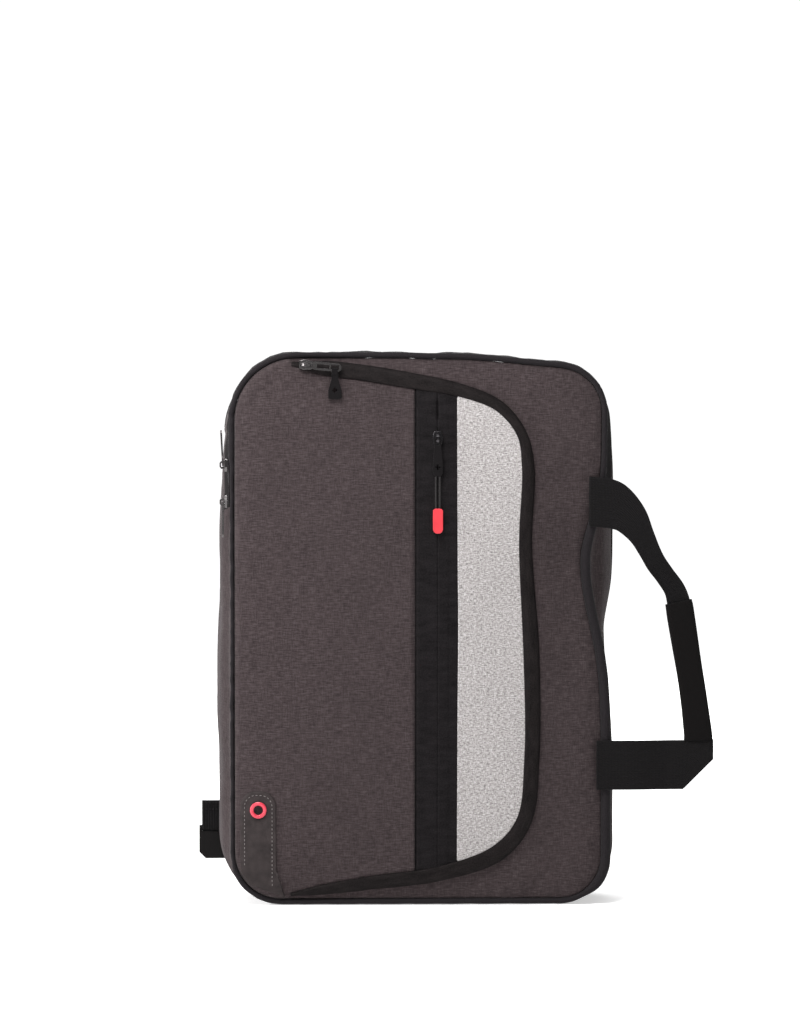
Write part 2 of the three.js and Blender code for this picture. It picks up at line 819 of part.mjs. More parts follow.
// Rubber puller that hangs in the metal pull's eye
function arc_puller(eye) {
  const rail_inner = pull_width / 2 - pull_rail;
  const neck = (eye_high - eye_low) / 2 - clearance;
  const start = pull_width / 2 + clearance;
  const end = start + puller_length;
  const wide = neck + puller_spread;
  const shape = mirrored([
    [start, neck],
    [start + puller_neck, neck],
    [end - puller_foot, wide],
    ...rounded_end(end, puller_round, wide),
  ]);
  shape.holes.push(plus_path(end - puller_foot));
  const loop_low = rail_inner - loop_wall;
  const loop_high = start + 2 * loop_wall;
  const loop_deep = pin_side + 2 * (clearance + loop_wall);
  const loop = new THREE.BoxGeometry(loop_high - loop_low, 2 * neck - loop_wall, loop_deep);
  loop.translate((loop_low + loop_high) / 2, 0, 0);
  const hole = new THREE.BoxGeometry(pull_rail + 2 * clearance, 4 * neck, pin_side + 2 * clearance);
  hole.translate((pull_width / 2 + rail_inner) / 2, 0, 0);
  const body = solid(plate(shape, puller_wall)).add(solid(loop)).subtract(solid(hole));
  return place(group_mesh('arc_puller', geometry_of(body), black, 0.6), eye, down, forward);
}

// Strip zip: slider, moulded pull, two short strands and the red tab, all hanging down the strip
function strip_zip(group) {
  const x = strip_centre + strip_slider_shift;
  const z = strip_slider_up * bag_height + foot_lift;
  const half = slider_width / 2;
  const nose = slider_length / 2;
  const length = strip_pull_length + strand_length + tab_red_length;
  const seat = front_seat(x - half, x + half, z - nose, z + nose);
  const tab_seat_y = front_seat(x - half, x + half, z - length, z - length + tab_red_length);
  const along = new THREE.Vector3(0, seat - tab_seat_y, -length).normalize();
  const off = new THREE.Vector3().crossVectors(along, right);
  const origin = new THREE.Vector3(x, -(seat + pocket_lift + pocket_wall + clearance), z);
  group.add(place(group_mesh('strip_slider', slider(), black, 0.35, 0.8), origin, along, off));
  const pin = origin.clone().addScaledVector(off, pin_height);
  group.add(place(group_mesh('strip_pull', strip_pull(), black, 0.55), pin, along, off));
  for (const side of [-1, 1]) {
    const name = `strip_strand_${side < 0 ? 1 : 2}`;
    const strand = group_mesh(name, strand_geometry(), black, 0.8);
    const top = pin.clone().addScaledVector(along, strip_pull_length + clearance);
    top.addScaledVector(right, (side * strand_pitch) / 2);
    group.add(place(strand, top, along, off));
  }
  const tab_start = pin.clone().addScaledVector(along, strip_pull_length + strand_length + 2 * clearance);
  group.add(place(group_mesh('red_tab', red_tab(), 0xd8303c, 0.5), tab_start, along, off));
}

function strand_geometry() {
  const geometry = new THREE.CylinderGeometry(strand_radius, strand_radius, strand_length, 6);
  geometry.rotateZ(-Math.PI / 2);
  geometry.translate(strand_length / 2, 0, 0);
  return mergeVertices(stripped(geometry), 1e-4);
}

function strip_pull() {
  const half = slider_width / 2;
  const length = strip_pull_length;
  const shape = mirrored([
    [-pin_side / 2, yoke_half + yoke_wall],
    [yoke, yoke_half + yoke_wall],
    [length - strip_pull_head, half],
    ...rounded_end(length, strip_pull_round, half),
  ]);
  shape.holes.push(window_path(pin_side / 2, yoke, yoke_half));
  shape.holes.push(plus_path(length - strip_pull_foot));
  return plate(shape, strip_pull_wall);
}

function red_tab() {
  const half = tab_red_width / 2;
  const near_end = rounded_end(0, -tab_red_round / 2, half).reverse();
  return plate(mirrored([...near_end, ...rounded_end(tab_red_length, tab_red_round, half)]), tab_red_wall);
}

// Main zip sliders on the left side
function side_zip(group) {
  const y = zip_line * half_depth;
  const seat = half_width + rear_flare * interpolate(walls, 'depth', -0.6, 'flare') + cloth_wall / 2;
  const floor = seat + 2 * clearance + tape_wall;
  for (const row of side_sliders) {
    const straight = row.downward ? down : up;
    const origin = new THREE.Vector3(-floor, y, row.up * bag_height + foot_lift);
    const slider_mesh = group_mesh(`side_slider_${row.name}`, slider(), metal, 0.35, 0.9);
    group.add(place(slider_mesh, origin, straight, outward_left));
    const lean = THREE.MathUtils.degToRad(row.lean);
    const along = straight.clone().multiplyScalar(Math.cos(lean));
    along.addScaledVector(outward_left, Math.sin(lean));
    const off = outward_left.clone().multiplyScalar(Math.cos(lean));
    off.addScaledVector(straight, -Math.sin(lean));
    const pin = origin.clone().addScaledVector(outward_left, pin_height);
    group.add(place(group_mesh(`side_pull_${row.name}`, metal_pull(), metal, 0.35, 0.9), pin, along, off));
  }
}

// Carrying handle

const root_x = half_width - root_overlap;
const root_half = webbing_width / 2;
const root_seats = [handle_low, handle_low + handle_span].map((z) =>
  front_seat(root_x, half_width, z - root_half, z + root_half),
);
const handle_front = Math.max(half_depth + piping_radius, ...root_seats) + clearance;

function handle_section(row, extra_wide, extra_thick) {
  const turn = THREE.MathUtils.degToRad(row.turn);
  const x = root_x + row.across * handle_reach;
  const z = handle_low + row.up * handle_span;
  const half = (row.wide * webbing_width) / 2 + extra_wide;
  const wall = webbing_wall * row.thick;
  const set_back = handle_set_back * smooth((row.across - set_back_start) / set_back_reach);
  const y_mid = set_back - handle_front - wall / 2;
  const y_half = wall / 2 + extra_thick;
  const dx = Math.cos(turn);
  const dz = Math.sin(turn);
  return { x, z, half, y_mid, y_half, dx, dz };
}

function handle_webbing() {
  const rings = handle_line.map((row) => {
    const s = handle_section(row, 0, 0);
    const corner = (side, face) =>
      new THREE.Vector3(s.x + side * s.dx * s.half, s.y_mid + face * s.y_half, s.z + side * s.dz * s.half);
    return [corner(-1, -1), corner(1, -1), corner(1, 1), corner(-1, 1)];
  });
  return loft(rings);
}

function wrap_ring(row, extra) {
  const s = handle_section(row, extra, extra);
  const bevel = wrap_bevel * s.y_half;
  const corners = [
    [-1, -1, 0, bevel], [-1, -1, bevel, 0], [1, -1, -bevel, 0], [1, -1, 0, bevel],
    [1, 1, 0, -bevel], [1, 1, -bevel, 0], [-1, 1, bevel, 0], [-1, 1, 0, -bevel],
  ];
  return corners.map(([side, face, along, through]) => {
    const reach = side * s.half + along;
    return new THREE.Vector3(s.x + s.dx * reach, s.y_mid + face * s.y_half + through, s.z + s.dz * reach);
  });
}

function handle_wrap() {
  const rows = handle_line.slice(wrap_first, wrap_last + 1);
  const outer = rows.map((row) => wrap_ring(row, clearance + wrap_wall));
  const inner = rows.map((row) => wrap_ring(row, wrap_room)).reverse();
  return loft([...outer, ...inner], true);
}

// Webbing tab with a buckle, sewn over the rear seam at the lower left
const tab_left = -(half_width + rear_flare + buckle_outreach);
const tab_right = tab_left + buckle_width;
const tab_top = buckle_foot + buckle_height + tab_height;
const tab_seat = seat_on(rear_edge, back_height, tab_left, tab_right, buckle_foot, tab_top);
const tab_back = Math.max(half_depth + piping_radius, tab_seat) + clearance;
const rail_z = buckle_foot + buckle_height - buckle_rail / 2;
const loop_room = buckle_rail / 2 + clearance;

function strap_tab() {
  const half = loop_room + tab_wall;
  const front_ply = 2 * tab_wall - half;
  const shape = new THREE.Shape();
  shape.moveTo(-half, tab_corner - half);
  shape.lineTo(tab_corner - half, -half);
  shape.lineTo(half - tab_corner, -half);
  shape.lineTo(half, tab_corner - half);
  shape.lineTo(half, half);
  shape.lineTo(front_ply, tab_height - half);
  shape.lineTo(-half, tab_height - half);
  shape.closePath();
  shape.holes.push(window_path(-loop_room, loop_room, loop_room));
  const geometry = new THREE.ExtrudeGeometry(shape, { depth: tab_width, bevelEnabled: false });
  geometry.rotateX(Math.PI / 2);
  geometry.rotateZ(Math.PI / 2);
  const x = tab_left + (buckle_width - tab_width) / 2;
  geometry.translate(x, tab_back + half, rail_z);
  return mergeVertices(stripped(geometry), 1e-4);
}

function strap_buckle() {
  const wide = buckle_width;
  const high = buckle_height;
  const side = (wide - tab_width) / 2 - clearance;
  const shape = shape_of([
    { x: buckle_chamfer, z: 0 },
    { x: wide - buckle_chamfer, z: 0 },
    { x: wide, z: buckle_chamfer },
    { x: wide, z: high },
    { x: 0, z: high },
    { x: 0, z: buckle_chamfer },
  ]);
  const slot_high = high - buckle_rail;
  const slot_low = slot_high - tab_wall - 2 * clearance;
  shape.holes.push(new THREE.Path([
    new THREE.Vector2(side, slot_low),
    new THREE.Vector2(side, slot_high),
    new THREE.Vector2(wide - side, slot_high),
    new THREE.Vector2(wide - side, slot_low),
    new THREE.Vector2(side, slot_low),
  ]));
  const geometry = new THREE.ExtrudeGeometry(shape, { depth: buckle_wall, bevelEnabled: false });
  geometry.rotateX(Math.PI / 2);
  const body = solid(geometry);
  const cutter = new THREE.BoxGeometry(2 * wide, buckle_wall, buckle_rail + 2 * clearance);
  const shave = (buckle_wall + buckle_rail) / 2;
  const y_mid = -buckle_wall / 2;
  const cut_z = high - buckle_rail / 2;
  const front_cut = solid(cutter.clone().translate(wide, y_mid - shave, cut_z));
  const back_cut = solid(cutter.clone().translate(wide, y_mid + shave, cut_z));
  const trimmed = geometry_of(body.subtract(front_cut).subtract(back_cut));
  trimmed.translate(tab_left, tab_back + loop_room + tab_wall - y_mid, buckle_foot);
  return trimmed;
}

// Assembly

const heather = 0x4c4344;
const backpack = new THREE.Group();
const add = (name, geometry, colour, roughness, metalness) =>
  backpack.add(group_mesh(name, geometry, colour, roughness, metalness));

add('front_panel', slab(front_edge, front_rings, front_height, -1, -panel_wall, 0), heather, 0.95);
const fields = pocket_fields();
add('pocket_panel', fields.pocket_panel, heather, 0.95);
add('zip_strip', fields.zip_strip, 0x242223, 0.7);
add('light_panel', fields.light_panel, 0xbcb8b7, 0.95);
add('pocket_band', pocket_band(), 0x1e1b1b, 0.65);
add('corner_patch', corner_patch(), 0x413c3c, 0.7);
add('eyelet', eyelet(), 0xe14155, 0.4);
add('front_piping', piping(front_outline, -half_depth), 0x262224, 0.8);
add('rear_piping', piping(rear_outline, half_depth), 0x262224, 0.8);
add('gusset', gusset(), heather, 0.95);
add('main_zip', main_zip(), 0x1e1b1b, 0.8);
add('back_panel', slab(rear_edge, back_rings, back_height, 1, -back_padding, 0), 0x2b292a, 0.95);
add('handle_webbing', handle_webbing(), 0x1c1a1b, 0.85);
add('handle_wrap', handle_wrap(), 0x181616, 0.8);
add('strap_tab', strap_tab(), 0x1c1a1b, 0.85);
add('strap_buckle', strap_buckle(), 0x1a1818, 0.5);
arc_zip(backpack);
strip_zip(backpack);
side_zip(backpack);

export default backpack;
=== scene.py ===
"""Looks of the convertible backpack: heather cloth, rubberised bands, webbing and zip hardware.

Sizes are in millimetres in the row frame, and mesh_object() turns them into metres.
"""
import math

import bmesh
import bpy
import numpy as np
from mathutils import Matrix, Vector


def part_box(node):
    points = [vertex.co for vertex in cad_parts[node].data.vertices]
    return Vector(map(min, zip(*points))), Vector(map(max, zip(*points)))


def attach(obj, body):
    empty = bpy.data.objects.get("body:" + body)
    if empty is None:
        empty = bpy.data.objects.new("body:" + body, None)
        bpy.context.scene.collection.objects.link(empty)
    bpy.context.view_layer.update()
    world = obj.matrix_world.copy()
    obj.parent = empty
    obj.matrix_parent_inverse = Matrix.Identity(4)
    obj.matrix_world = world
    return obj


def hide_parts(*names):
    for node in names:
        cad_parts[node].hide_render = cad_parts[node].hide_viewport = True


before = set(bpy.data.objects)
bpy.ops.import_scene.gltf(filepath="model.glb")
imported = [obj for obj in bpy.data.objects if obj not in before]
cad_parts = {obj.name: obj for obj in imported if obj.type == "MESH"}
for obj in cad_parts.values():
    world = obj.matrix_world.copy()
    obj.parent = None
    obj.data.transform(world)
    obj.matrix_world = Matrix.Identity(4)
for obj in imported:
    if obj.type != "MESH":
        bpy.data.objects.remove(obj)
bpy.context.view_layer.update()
scene = bpy.context.scene
scene.view_settings.view_transform = "Standard"
MM = 0.001

# Body, as in the solids
bag_width = 286
bag_height = 420
bag_depth = 80
foot_lift = 3
rear_flare = 7.8
top_droop = 9
front_crown = 9.5
front_roll = 2.5
back_crown = 6
back_roll = 3
corner_top_left = 50
corner_top_right = 34
corner_bottom_right = 34
corner_bottom_left = 38
cloth_wall = 2
panel_wall = 2.5
back_padding = 6
piping_radius = 2
clearance = 0.3

# Front pocket
pocket_lift = 0.5
pocket_wall = 2.5
strip_width = 32
strip_centre = 13.5
slit_shift = 1.2
patch_width = 27.5
patch_height = 86
patch_inset = 6.5
patch_wall = 1.2
patch_corner = 12
patch_toe = 6
eyelet_radius = 6.4
eyelet_bore = 3.6
eyelet_drop = 14.5

# Main zip
tape_wall = 1.1
zip_line = -0.76
tape_inner = -0.38
tape_end_right = 0.74
tape_end_left = 0.722

# Carrying handle
webbing_width = 38
webbing_wall = 1.8
handle_reach = 95
handle_span = 203
handle_low = 108
wrap_wall = 1.2
root_overlap = 12
handle_set_back = 5

# Tab at the lower left
tab_width = 25
tab_height = 24
tab_wall = 1.6
rail_room = 1.6

# Right end of the handle's lower run and the length of its 45 degree cut
fold_right = 227
fold_cut = 23

half_width = bag_width / 2
half_depth = bag_depth / 2
middle = foot_lift + bag_height / 2
gusset_end = 1 - 0.6 * piping_radius / half_depth

# Channels in the padded back: depth, width and their heights as shares of the bag's
quilt_depth = 2.2
quilt_channel = 4.5
quilt_rows = (0.3, 0.5, 0.7)

# Camera, lights and floor
camera_distance = 4.5
camera_azimuth = -1.5
camera_elevation = 3
camera_target = (-0.0128, 0, 0.306)
millimetres_per_pixel = 0.7734
picture_height = 1010
sensor = 36


def make_camera():
    data = bpy.data.cameras.new("camera")
    data.sensor_width = sensor
    data.lens = sensor * camera_distance / (millimetres_per_pixel * picture_height * MM)
    camera = bpy.data.objects.new("camera", data)
    azimuth = math.radians(camera_azimuth)
    elevation = math.radians(camera_elevation)
    level = math.cos(elevation)
    back = Vector((math.sin(azimuth) * level, -math.cos(azimuth) * level, math.sin(elevation)))
    camera.location = Vector(camera_target) + back * camera_distance
    camera.rotation_mode = "QUATERNION"
    camera.rotation_quaternion = (-back).to_track_quat("-Z", "Y")
    scene.collection.objects.link(camera)
    scene.camera = camera


make_camera()


# Curves and noise

def curve_through(keys, values):
    """A smooth function through the rows of a table, with one or more columns of values."""
    keys = np.asarray(keys, float)
    values = np.asarray(values, float)
    slopes = np.gradient(values, keys, axis=0)

    def at(place):
        place = np.clip(np.asarray(place, float), keys[0], keys[-1])
        row = np.clip(np.searchsorted(keys, place) - 1, 0, len(keys) - 2)
        step = keys[row + 1] - keys[row]
        share = (place - keys[row]) / step
        if values.ndim > 1:
            step = step[..., None]
            share = share[..., None]
        square = share * share
        cube = square * share
        return (
            (2 * cube - 3 * square + 1) * values[row]
            + (cube - 2 * square + share) * step * slopes[row]
            + (3 * square - 2 * cube) * values[row + 1]
            + (cube - square) * step * slopes[row + 1]
        )

    return at


def run_along(points):
    """Distance along a line of points from the first to each."""
    return np.concatenate([[0], np.cumsum(np.linalg.norm(np.diff(points, axis=0), axis=1))])


def on_line(place, run, points):
    """Points of the line at these distances along it."""
    return np.stack([np.interp(place, run, column) for column in points.T], -1)


def smooth(value):
    share = np.clip(value, 0, 1)
    return share * share * (3 - 2 * share)


def bell(offset, below, above):
    share = offset / np.where(np.asarray(offset) < 0, below, above)
    return np.exp(-share * share)


def ridge(offset, wide):
    return np.exp(-((offset / wide) ** 2))


def waves(seed, count, shortest, longest):
    """Sum of plane waves with seeded directions, about -1 to 1, for soft unevenness in cloth."""
    rng = np.random.default_rng(seed)
    length = shortest * (longest / shortest) ** rng.random(count)
    angle = rng.random(count) * 2 * np.pi
    phase = rng.random(count) * 2 * np.pi
    weight = length / length.sum()

    def at(x, z):
        total = 0
        for k in range(count):
            along = (x * np.cos(angle[k]) + z * np.sin(angle[k])) * 2 * np.pi / length[k]
            total = total + weight[k] * np.sin(along + phase[k])
        return total * 2

    return at


# Outline of the bag at one depth, from the front seam (-1) to the rear seam (+1)

# Depth share and the share of the rear's flare that the walls have there
walls = [
    (-1.0, 0.0), (-0.8, 0.0), (-0.6, 0.06), (-0.38, 0.72), (-0.1, 1.0),
    (0.3, 1.12), (0.7, 1.1), (0.93, 1.02), (1.0, 1.0),
]
# Side, place along it, depth, reach below and above, weight at the front and at the rear
dents = [
    ("right", 0.628, 0.056, 0.15, 0.105, 1, 0.02),
    ("right", 0.49, 0.024, 0.13, 0.07, 0, 1),
    ("left", 0.95, 0.02, 0.075, 0.1, 0, 1),
    ("left", 0.4, -0.007, 0.08, 0.08, 0, 1),
    ("top", 0.03, 0.008, 0.05, 0.04, 0.3, 1),
]
# Places across and up, width, height, and the share of the flare that is taken back
pinches = [(-0.5, 1, 0.34, 0.2, 0.85), (0.5, 1, 0.3, 0.12, 0.6)]
# Hollows of the front face: places across and up, width, height and depth
valleys = [(0.4, 0.63, 0.05, 0.17, 0.011), (0.36, 0.13, 0.09, 0.06, 0.006)]
front_fall = 2.5
droop_bend = 1.5
foot_reach = 0.2
corner_steps = 16
side_steps = {"bottom": 50, "right": 90, "top": 60, "left": 80}
flare_at = curve_through(*zip(*walls))


def outline_at(depth):
    """Points of the outline as rows of x, z and the outward direction, counterclockwise."""
    spread = rear_flare * float(flare_at(depth))
    half = half_width + spread
    right, left = half_width, -half_width
    low, high = foot_lift, foot_lift + bag_height
    corners = [
        (right - corner_bottom_right, low + spread + corner_bottom_right, corner_bottom_right + spread, -90),
        (right - corner_top_right, high - spread - corner_top_right, corner_top_right + spread, 0),
        (left + corner_top_left, high - spread - corner_top_left, corner_top_left + spread, 90),
        (left + corner_bottom_left, low + spread + corner_bottom_left, corner_bottom_left + spread, 180),
    ]
    rows = []
    sides = []
    for index, side in enumerate(("right", "top", "left", "bottom")):
        x, z, radius, start = corners[index]
        for angle in np.radians(start + np.linspace(0, 90, corner_steps + 1)):
            nx, nz = math.cos(angle), math.sin(angle)
            rows.append((x + radius * nx, z + radius * nz, nx, nz))
            sides.append("corner")
        from_x, from_z, nx, nz = rows[-1]
        next_x, next_z, next_radius, next_start = corners[(index + 1) % 4]
        angle = math.radians(next_start)
        run_x = next_x + next_radius * math.cos(angle) - from_x
        run_z = next_z + next_radius * math.sin(angle) - from_z
        for share in np.arange(1, side_steps[side]) / side_steps[side]:
            rows.append((from_x + run_x * share, from_z + run_z * share, nx, nz))
            sides.append(side)
    return dented(np.array(rows), np.array(sides), depth, half)


def mound(x, z, across, up, wide, tall):
    """Round bell on a face, its place and size in shares of the bag's width and height."""
    return np.exp(-(((x / bag_width - across) / wide) ** 2) - ((z / bag_height - up) / tall) ** 2)


def dented(points, sides, depth, half):
    front_share = ((1 - depth) / 2) ** front_fall
    x, z, nx, nz = points.T
    inward = np.zeros(len(points))
    for side, at, deep, below, above, front, rear in dents:
        place = x / bag_width if side == "top" else z / bag_height
        weight = front * front_share + rear * (1 - front_share)
        inward += (sides == side) * bag_width * deep * weight * bell(place - at, below, above)
    for *place, share in pinches:
        inward += rear_flare * float(flare_at(depth)) * share * mound(x, z, *place)
    droop = top_droop * smooth((x / half + 0.1) / 1.1) ** droop_bend * smooth((z / bag_height - 0.7) / 0.25)
    sag = np.where(nz < 0, (foot_lift - cloth_wall / 2) * nz**4 * smooth((1 - abs(depth)) / foot_reach), 0)
    return np.stack([x - nx * inward, np.maximum(0, z - nz * inward - droop - sag), nx, nz], 1)


front_outline = outline_at(-1)
rear_outline = outline_at(1)
arc_length = run_along(front_outline[:, :2])


def inset(outline, distance):
    return outline[:, :2] - outline[:, 2:] * distance


seam_inset = piping_radius + clearance
front_edge = inset(front_outline, seam_inset)
rear_edge = inset(rear_outline, seam_inset)


def share_on(edge, x, z):
    """Share of the way from the middle of a face to its sewn edge."""
    angle = np.arctan2(edge[:, 1] - middle, edge[:, 0])
    order = np.argsort(angle)
    angle = angle[order]
    reach = np.hypot(edge[:, 0], edge[:, 1] - middle)[order]
    radius = np.interp(np.arctan2(z - middle, x), angle, reach, period=2 * np.pi)
    return np.hypot(x, z - middle) / radius


# Soft folds of the front face: x and z of both ends, width and height, a negative height being a valley
folds = [
    (92, 392, 96, 300, 7, -0.9),
    (104, 262, 132, 275, 6, -0.8),
    (100, 235, 130, 232, 7, 0.8),
    (108, 150, 137, 128, 5, -0.9),
    (106, 120, 138, 112, 5, 0.7),
    (30, 10, 62, 30, 4, -0.8),
    (64, 6, 92, 28, 5, 0.8),
    (84, 5, 112, 34, 4, -0.7),
    (-132, 330, -104, 340, 6, 0.5),
    (-134, 214, -112, 208, 5, -0.5),
    (-120, 396, -84, 380, 7, -0.5),
]
face_wave = 0.35
back_wave = 0.4
seam_wave = 0.8
side_wave = 0.8
face_waves = waves(11, 14, 28, 140)
seam_waves = waves(5, 10, 9, 26)


def fold_height(x, z):
    total = np.zeros_like(x)
    for from_x, from_z, to_x, to_z, wide, high in folds:
        dx = to_x - from_x
        dz = to_z - from_z
        length = math.hypot(dx, dz)
        along = ((x - from_x) * dx + (z - from_z) * dz) / length**2
        across = ((x - from_x) * dz - (z - from_z) * dx) / length
        ends = smooth(along / 0.35 + 0.4) * smooth((1 - along) / 0.35 + 0.4)
        total += high * ends * ridge(across, wide)
    return total


def front_height(x, z):
    share = share_on(front_edge, x, z)
    height = front_crown * (1 - share**2.4) + front_roll * (1 - share**20)
    for *place, deep in valleys:
        height -= bag_width * deep * mound(x, z, *place)
    near_seam = np.exp(-(1 - share) * 16) * smooth((0.995 - share) / 0.03)
    calm = 1 - ridge(x - strip_centre, strip_width / math.sqrt(2))
    height += face_wave * face_waves(x, z) * (1 - share**8) * calm
    height += seam_wave * seam_waves(x, z) * near_seam
    return height + fold_height(x, z)


def front_surface(x, z, lift):
    return -(half_depth + front_height(x, z) + lift)


def back_surface(x, z, lift):
    share = share_on(rear_edge, x, z)
    height = back_crown * (1 - share**2.6) + back_roll * (1 - share**20)
    height += back_wave * face_waves(x + 400, z) * (1 - share**8)
    return half_depth + height + lift


def laid(x, z, lift, surface=front_surface):
    """Points at this lift over the front face, or over another surface."""
    return np.stack([x, surface(x, z, lift), z], -1)


# Meshes

# Distance from the edge that stands for the middle of a field
far_inside = 1e3


def mesh_object(name, points, faces, cloth=None):
    """A mesh from points in millimetres. cloth holds each point's place in the weave, in millimetres."""
    mesh = bpy.data.meshes.new(name)
    places = (np.asarray(points, float) * MM).tolist()
    mesh.from_pydata(places, [], [tuple(map(int, face)) for face in faces])
    if cloth is not None:
        attribute = mesh.attributes.new("cloth", "FLOAT_VECTOR", "POINT")
        flat = np.zeros((len(points), 3), np.float32)
        flat[:, :2] = np.asarray(cloth)[:, :2] * MM
        attribute.data.foreach_set("vector", flat.ravel())
    shape = bmesh.new()
    shape.from_mesh(mesh)
    bmesh.ops.recalc_face_normals(shape, faces=shape.faces)
    shape.to_mesh(mesh)
    shape.free()
    mesh.polygons.foreach_set("use_smooth", [True] * len(mesh.polygons))
    piece = bpy.data.objects.new(name, mesh)
    scene.collection.objects.link(piece)
    return piece


def grid_faces(rows, columns, start, loop, ring):
    """Quads of a grid. loop joins the last column to the first, ring the last row to the first."""
    faces = []
    for r in range(rows if ring else rows - 1):
        here = start + r * columns
        there = start + ((r + 1) % rows) * columns
        for c in range(columns if loop else columns - 1):
            d = (c + 1) % columns
            faces.append((here + c, here + d, there + d, there + c))
    return faces


def capped(rows, sides, start=0):
    """Faces of a closed rod whose rings have this many sides."""
    faces = grid_faces(rows, sides, start, True, False)
    end = start + (rows - 1) * sides
    return faces + [tuple(range(start, start + sides)), tuple(range(end, end + sides))]


def slab(name, outer, inner, loop=False, centre=None, cloth=None):
    """Closed slab between two grids of points of one size. centre closes the first ring with a fan."""
    rows, columns = outer.shape[:2]
    count = rows * columns
    points = np.concatenate([outer.reshape(-1, 3), inner.reshape(-1, 3)])
    faces = grid_faces(rows, columns, 0, loop, False)
    faces += [face[::-1] for face in grid_faces(rows, columns, count, loop, False)]
    last = (rows - 1) * columns
    for c in range(columns if loop else columns - 1):
        d = (c + 1) % columns
        faces.append((last + c, last + d, count + last + d, count + last + c))
        if centre is None:
            faces.append((c, count + c, count + d, d))
        else:
            faces.append((2 * count, d, c))
            faces.append((2 * count + 1, count + c, count + d))
    if not loop:
        for r in range(rows - 1):
            a = r * columns
            b = a + columns
            faces.append((a, b, count + b, count + a))
            a += columns - 1
            b += columns - 1
            faces.append((b, a, count + a, count + b))
    if centre is not None:
        points = np.concatenate([points, np.asarray(centre, float)])
    if cloth is not None:
        cloth = np.concatenate([cloth.reshape(-1, 2), cloth.reshape(-1, 2)])
        if centre is not None:
            cloth = np.concatenate([cloth, np.zeros((2, 2))])
    return mesh_object(name, points, faces, cloth)


def ring_tube(name, centre, side, off, radius, sides=12):
    """Closed tube round a ring of points, with two directions across it and a radius at each point."""
    angles = 2 * np.pi * np.arange(sides) / sides
    ring = side[:, None] * np.cos(angles)[None, :, None] + off[:, None] * np.sin(angles)[None, :, None]
    points = centre[:, None] + ring * radius[:, None, None]
    cloth = np.stack(np.broadcast_arrays(run_along(centre)[:, None], radius.mean() * angles[None, :]), 2)
    faces = grid_faces(len(centre), sides, 0, True, True)
    return mesh_object(name, points.reshape(-1, 3), faces, cloth.reshape(-1, 2))


def field(name, outline, centre, shares, lift_at, floor, surface=front_surface):
    """Slab on a face, filled from its outline towards a point inside it."""
    centre = np.array(centre, float)
    grid = centre + (outline[None] - centre) * shares[:, None, None]
    x, z = grid[..., 0], grid[..., 1]
    edge_gap = (1 - shares)[:, None] * np.linalg.norm(outline - centre, axis=1)[None]
    outer = laid(x, z, lift_at(x, z, edge_gap), surface)
    inner = laid(x, z, floor, surface)
    at = centre[:1], centre[1:]
    ends = [laid(*at, lift_at(*at, np.array([far_inside])), surface)[0], laid(*at, floor, surface)[0]]
    piece = slab(name, outer, inner, loop=True, centre=ends, cloth=grid)
    cloth = piece.data.attributes["cloth"].data
    for k in (-2, -1):
        cloth[len(cloth) + k].vector = (centre[0] * MM, centre[1] * MM, 0)
    return piece


# Materials

light_level = 1.6
weft_pitch = 1.1
gloss_spread = 0.06
black_sheen = 0.003
darkest = 0.0015


def linear(red, green, blue, sheen=0.0):
    """Base colour of what looks like this in the studio light, 0 to 255, less its own sheen."""
    values = np.array([red, green, blue]) / 255
    values = np.where(values <= 0.04045, values / 12.92, ((values + 0.055) / 1.055) ** 2.4)
    return (*np.minimum(1, np.maximum(darkest, values - sheen) / light_level), 1)


def black(red, green, blue):
    return linear(red, green, blue, black_sheen)


def shaded(colour, share):
    return tuple(min(1, c * share) for c in colour[:3]) + (1,)


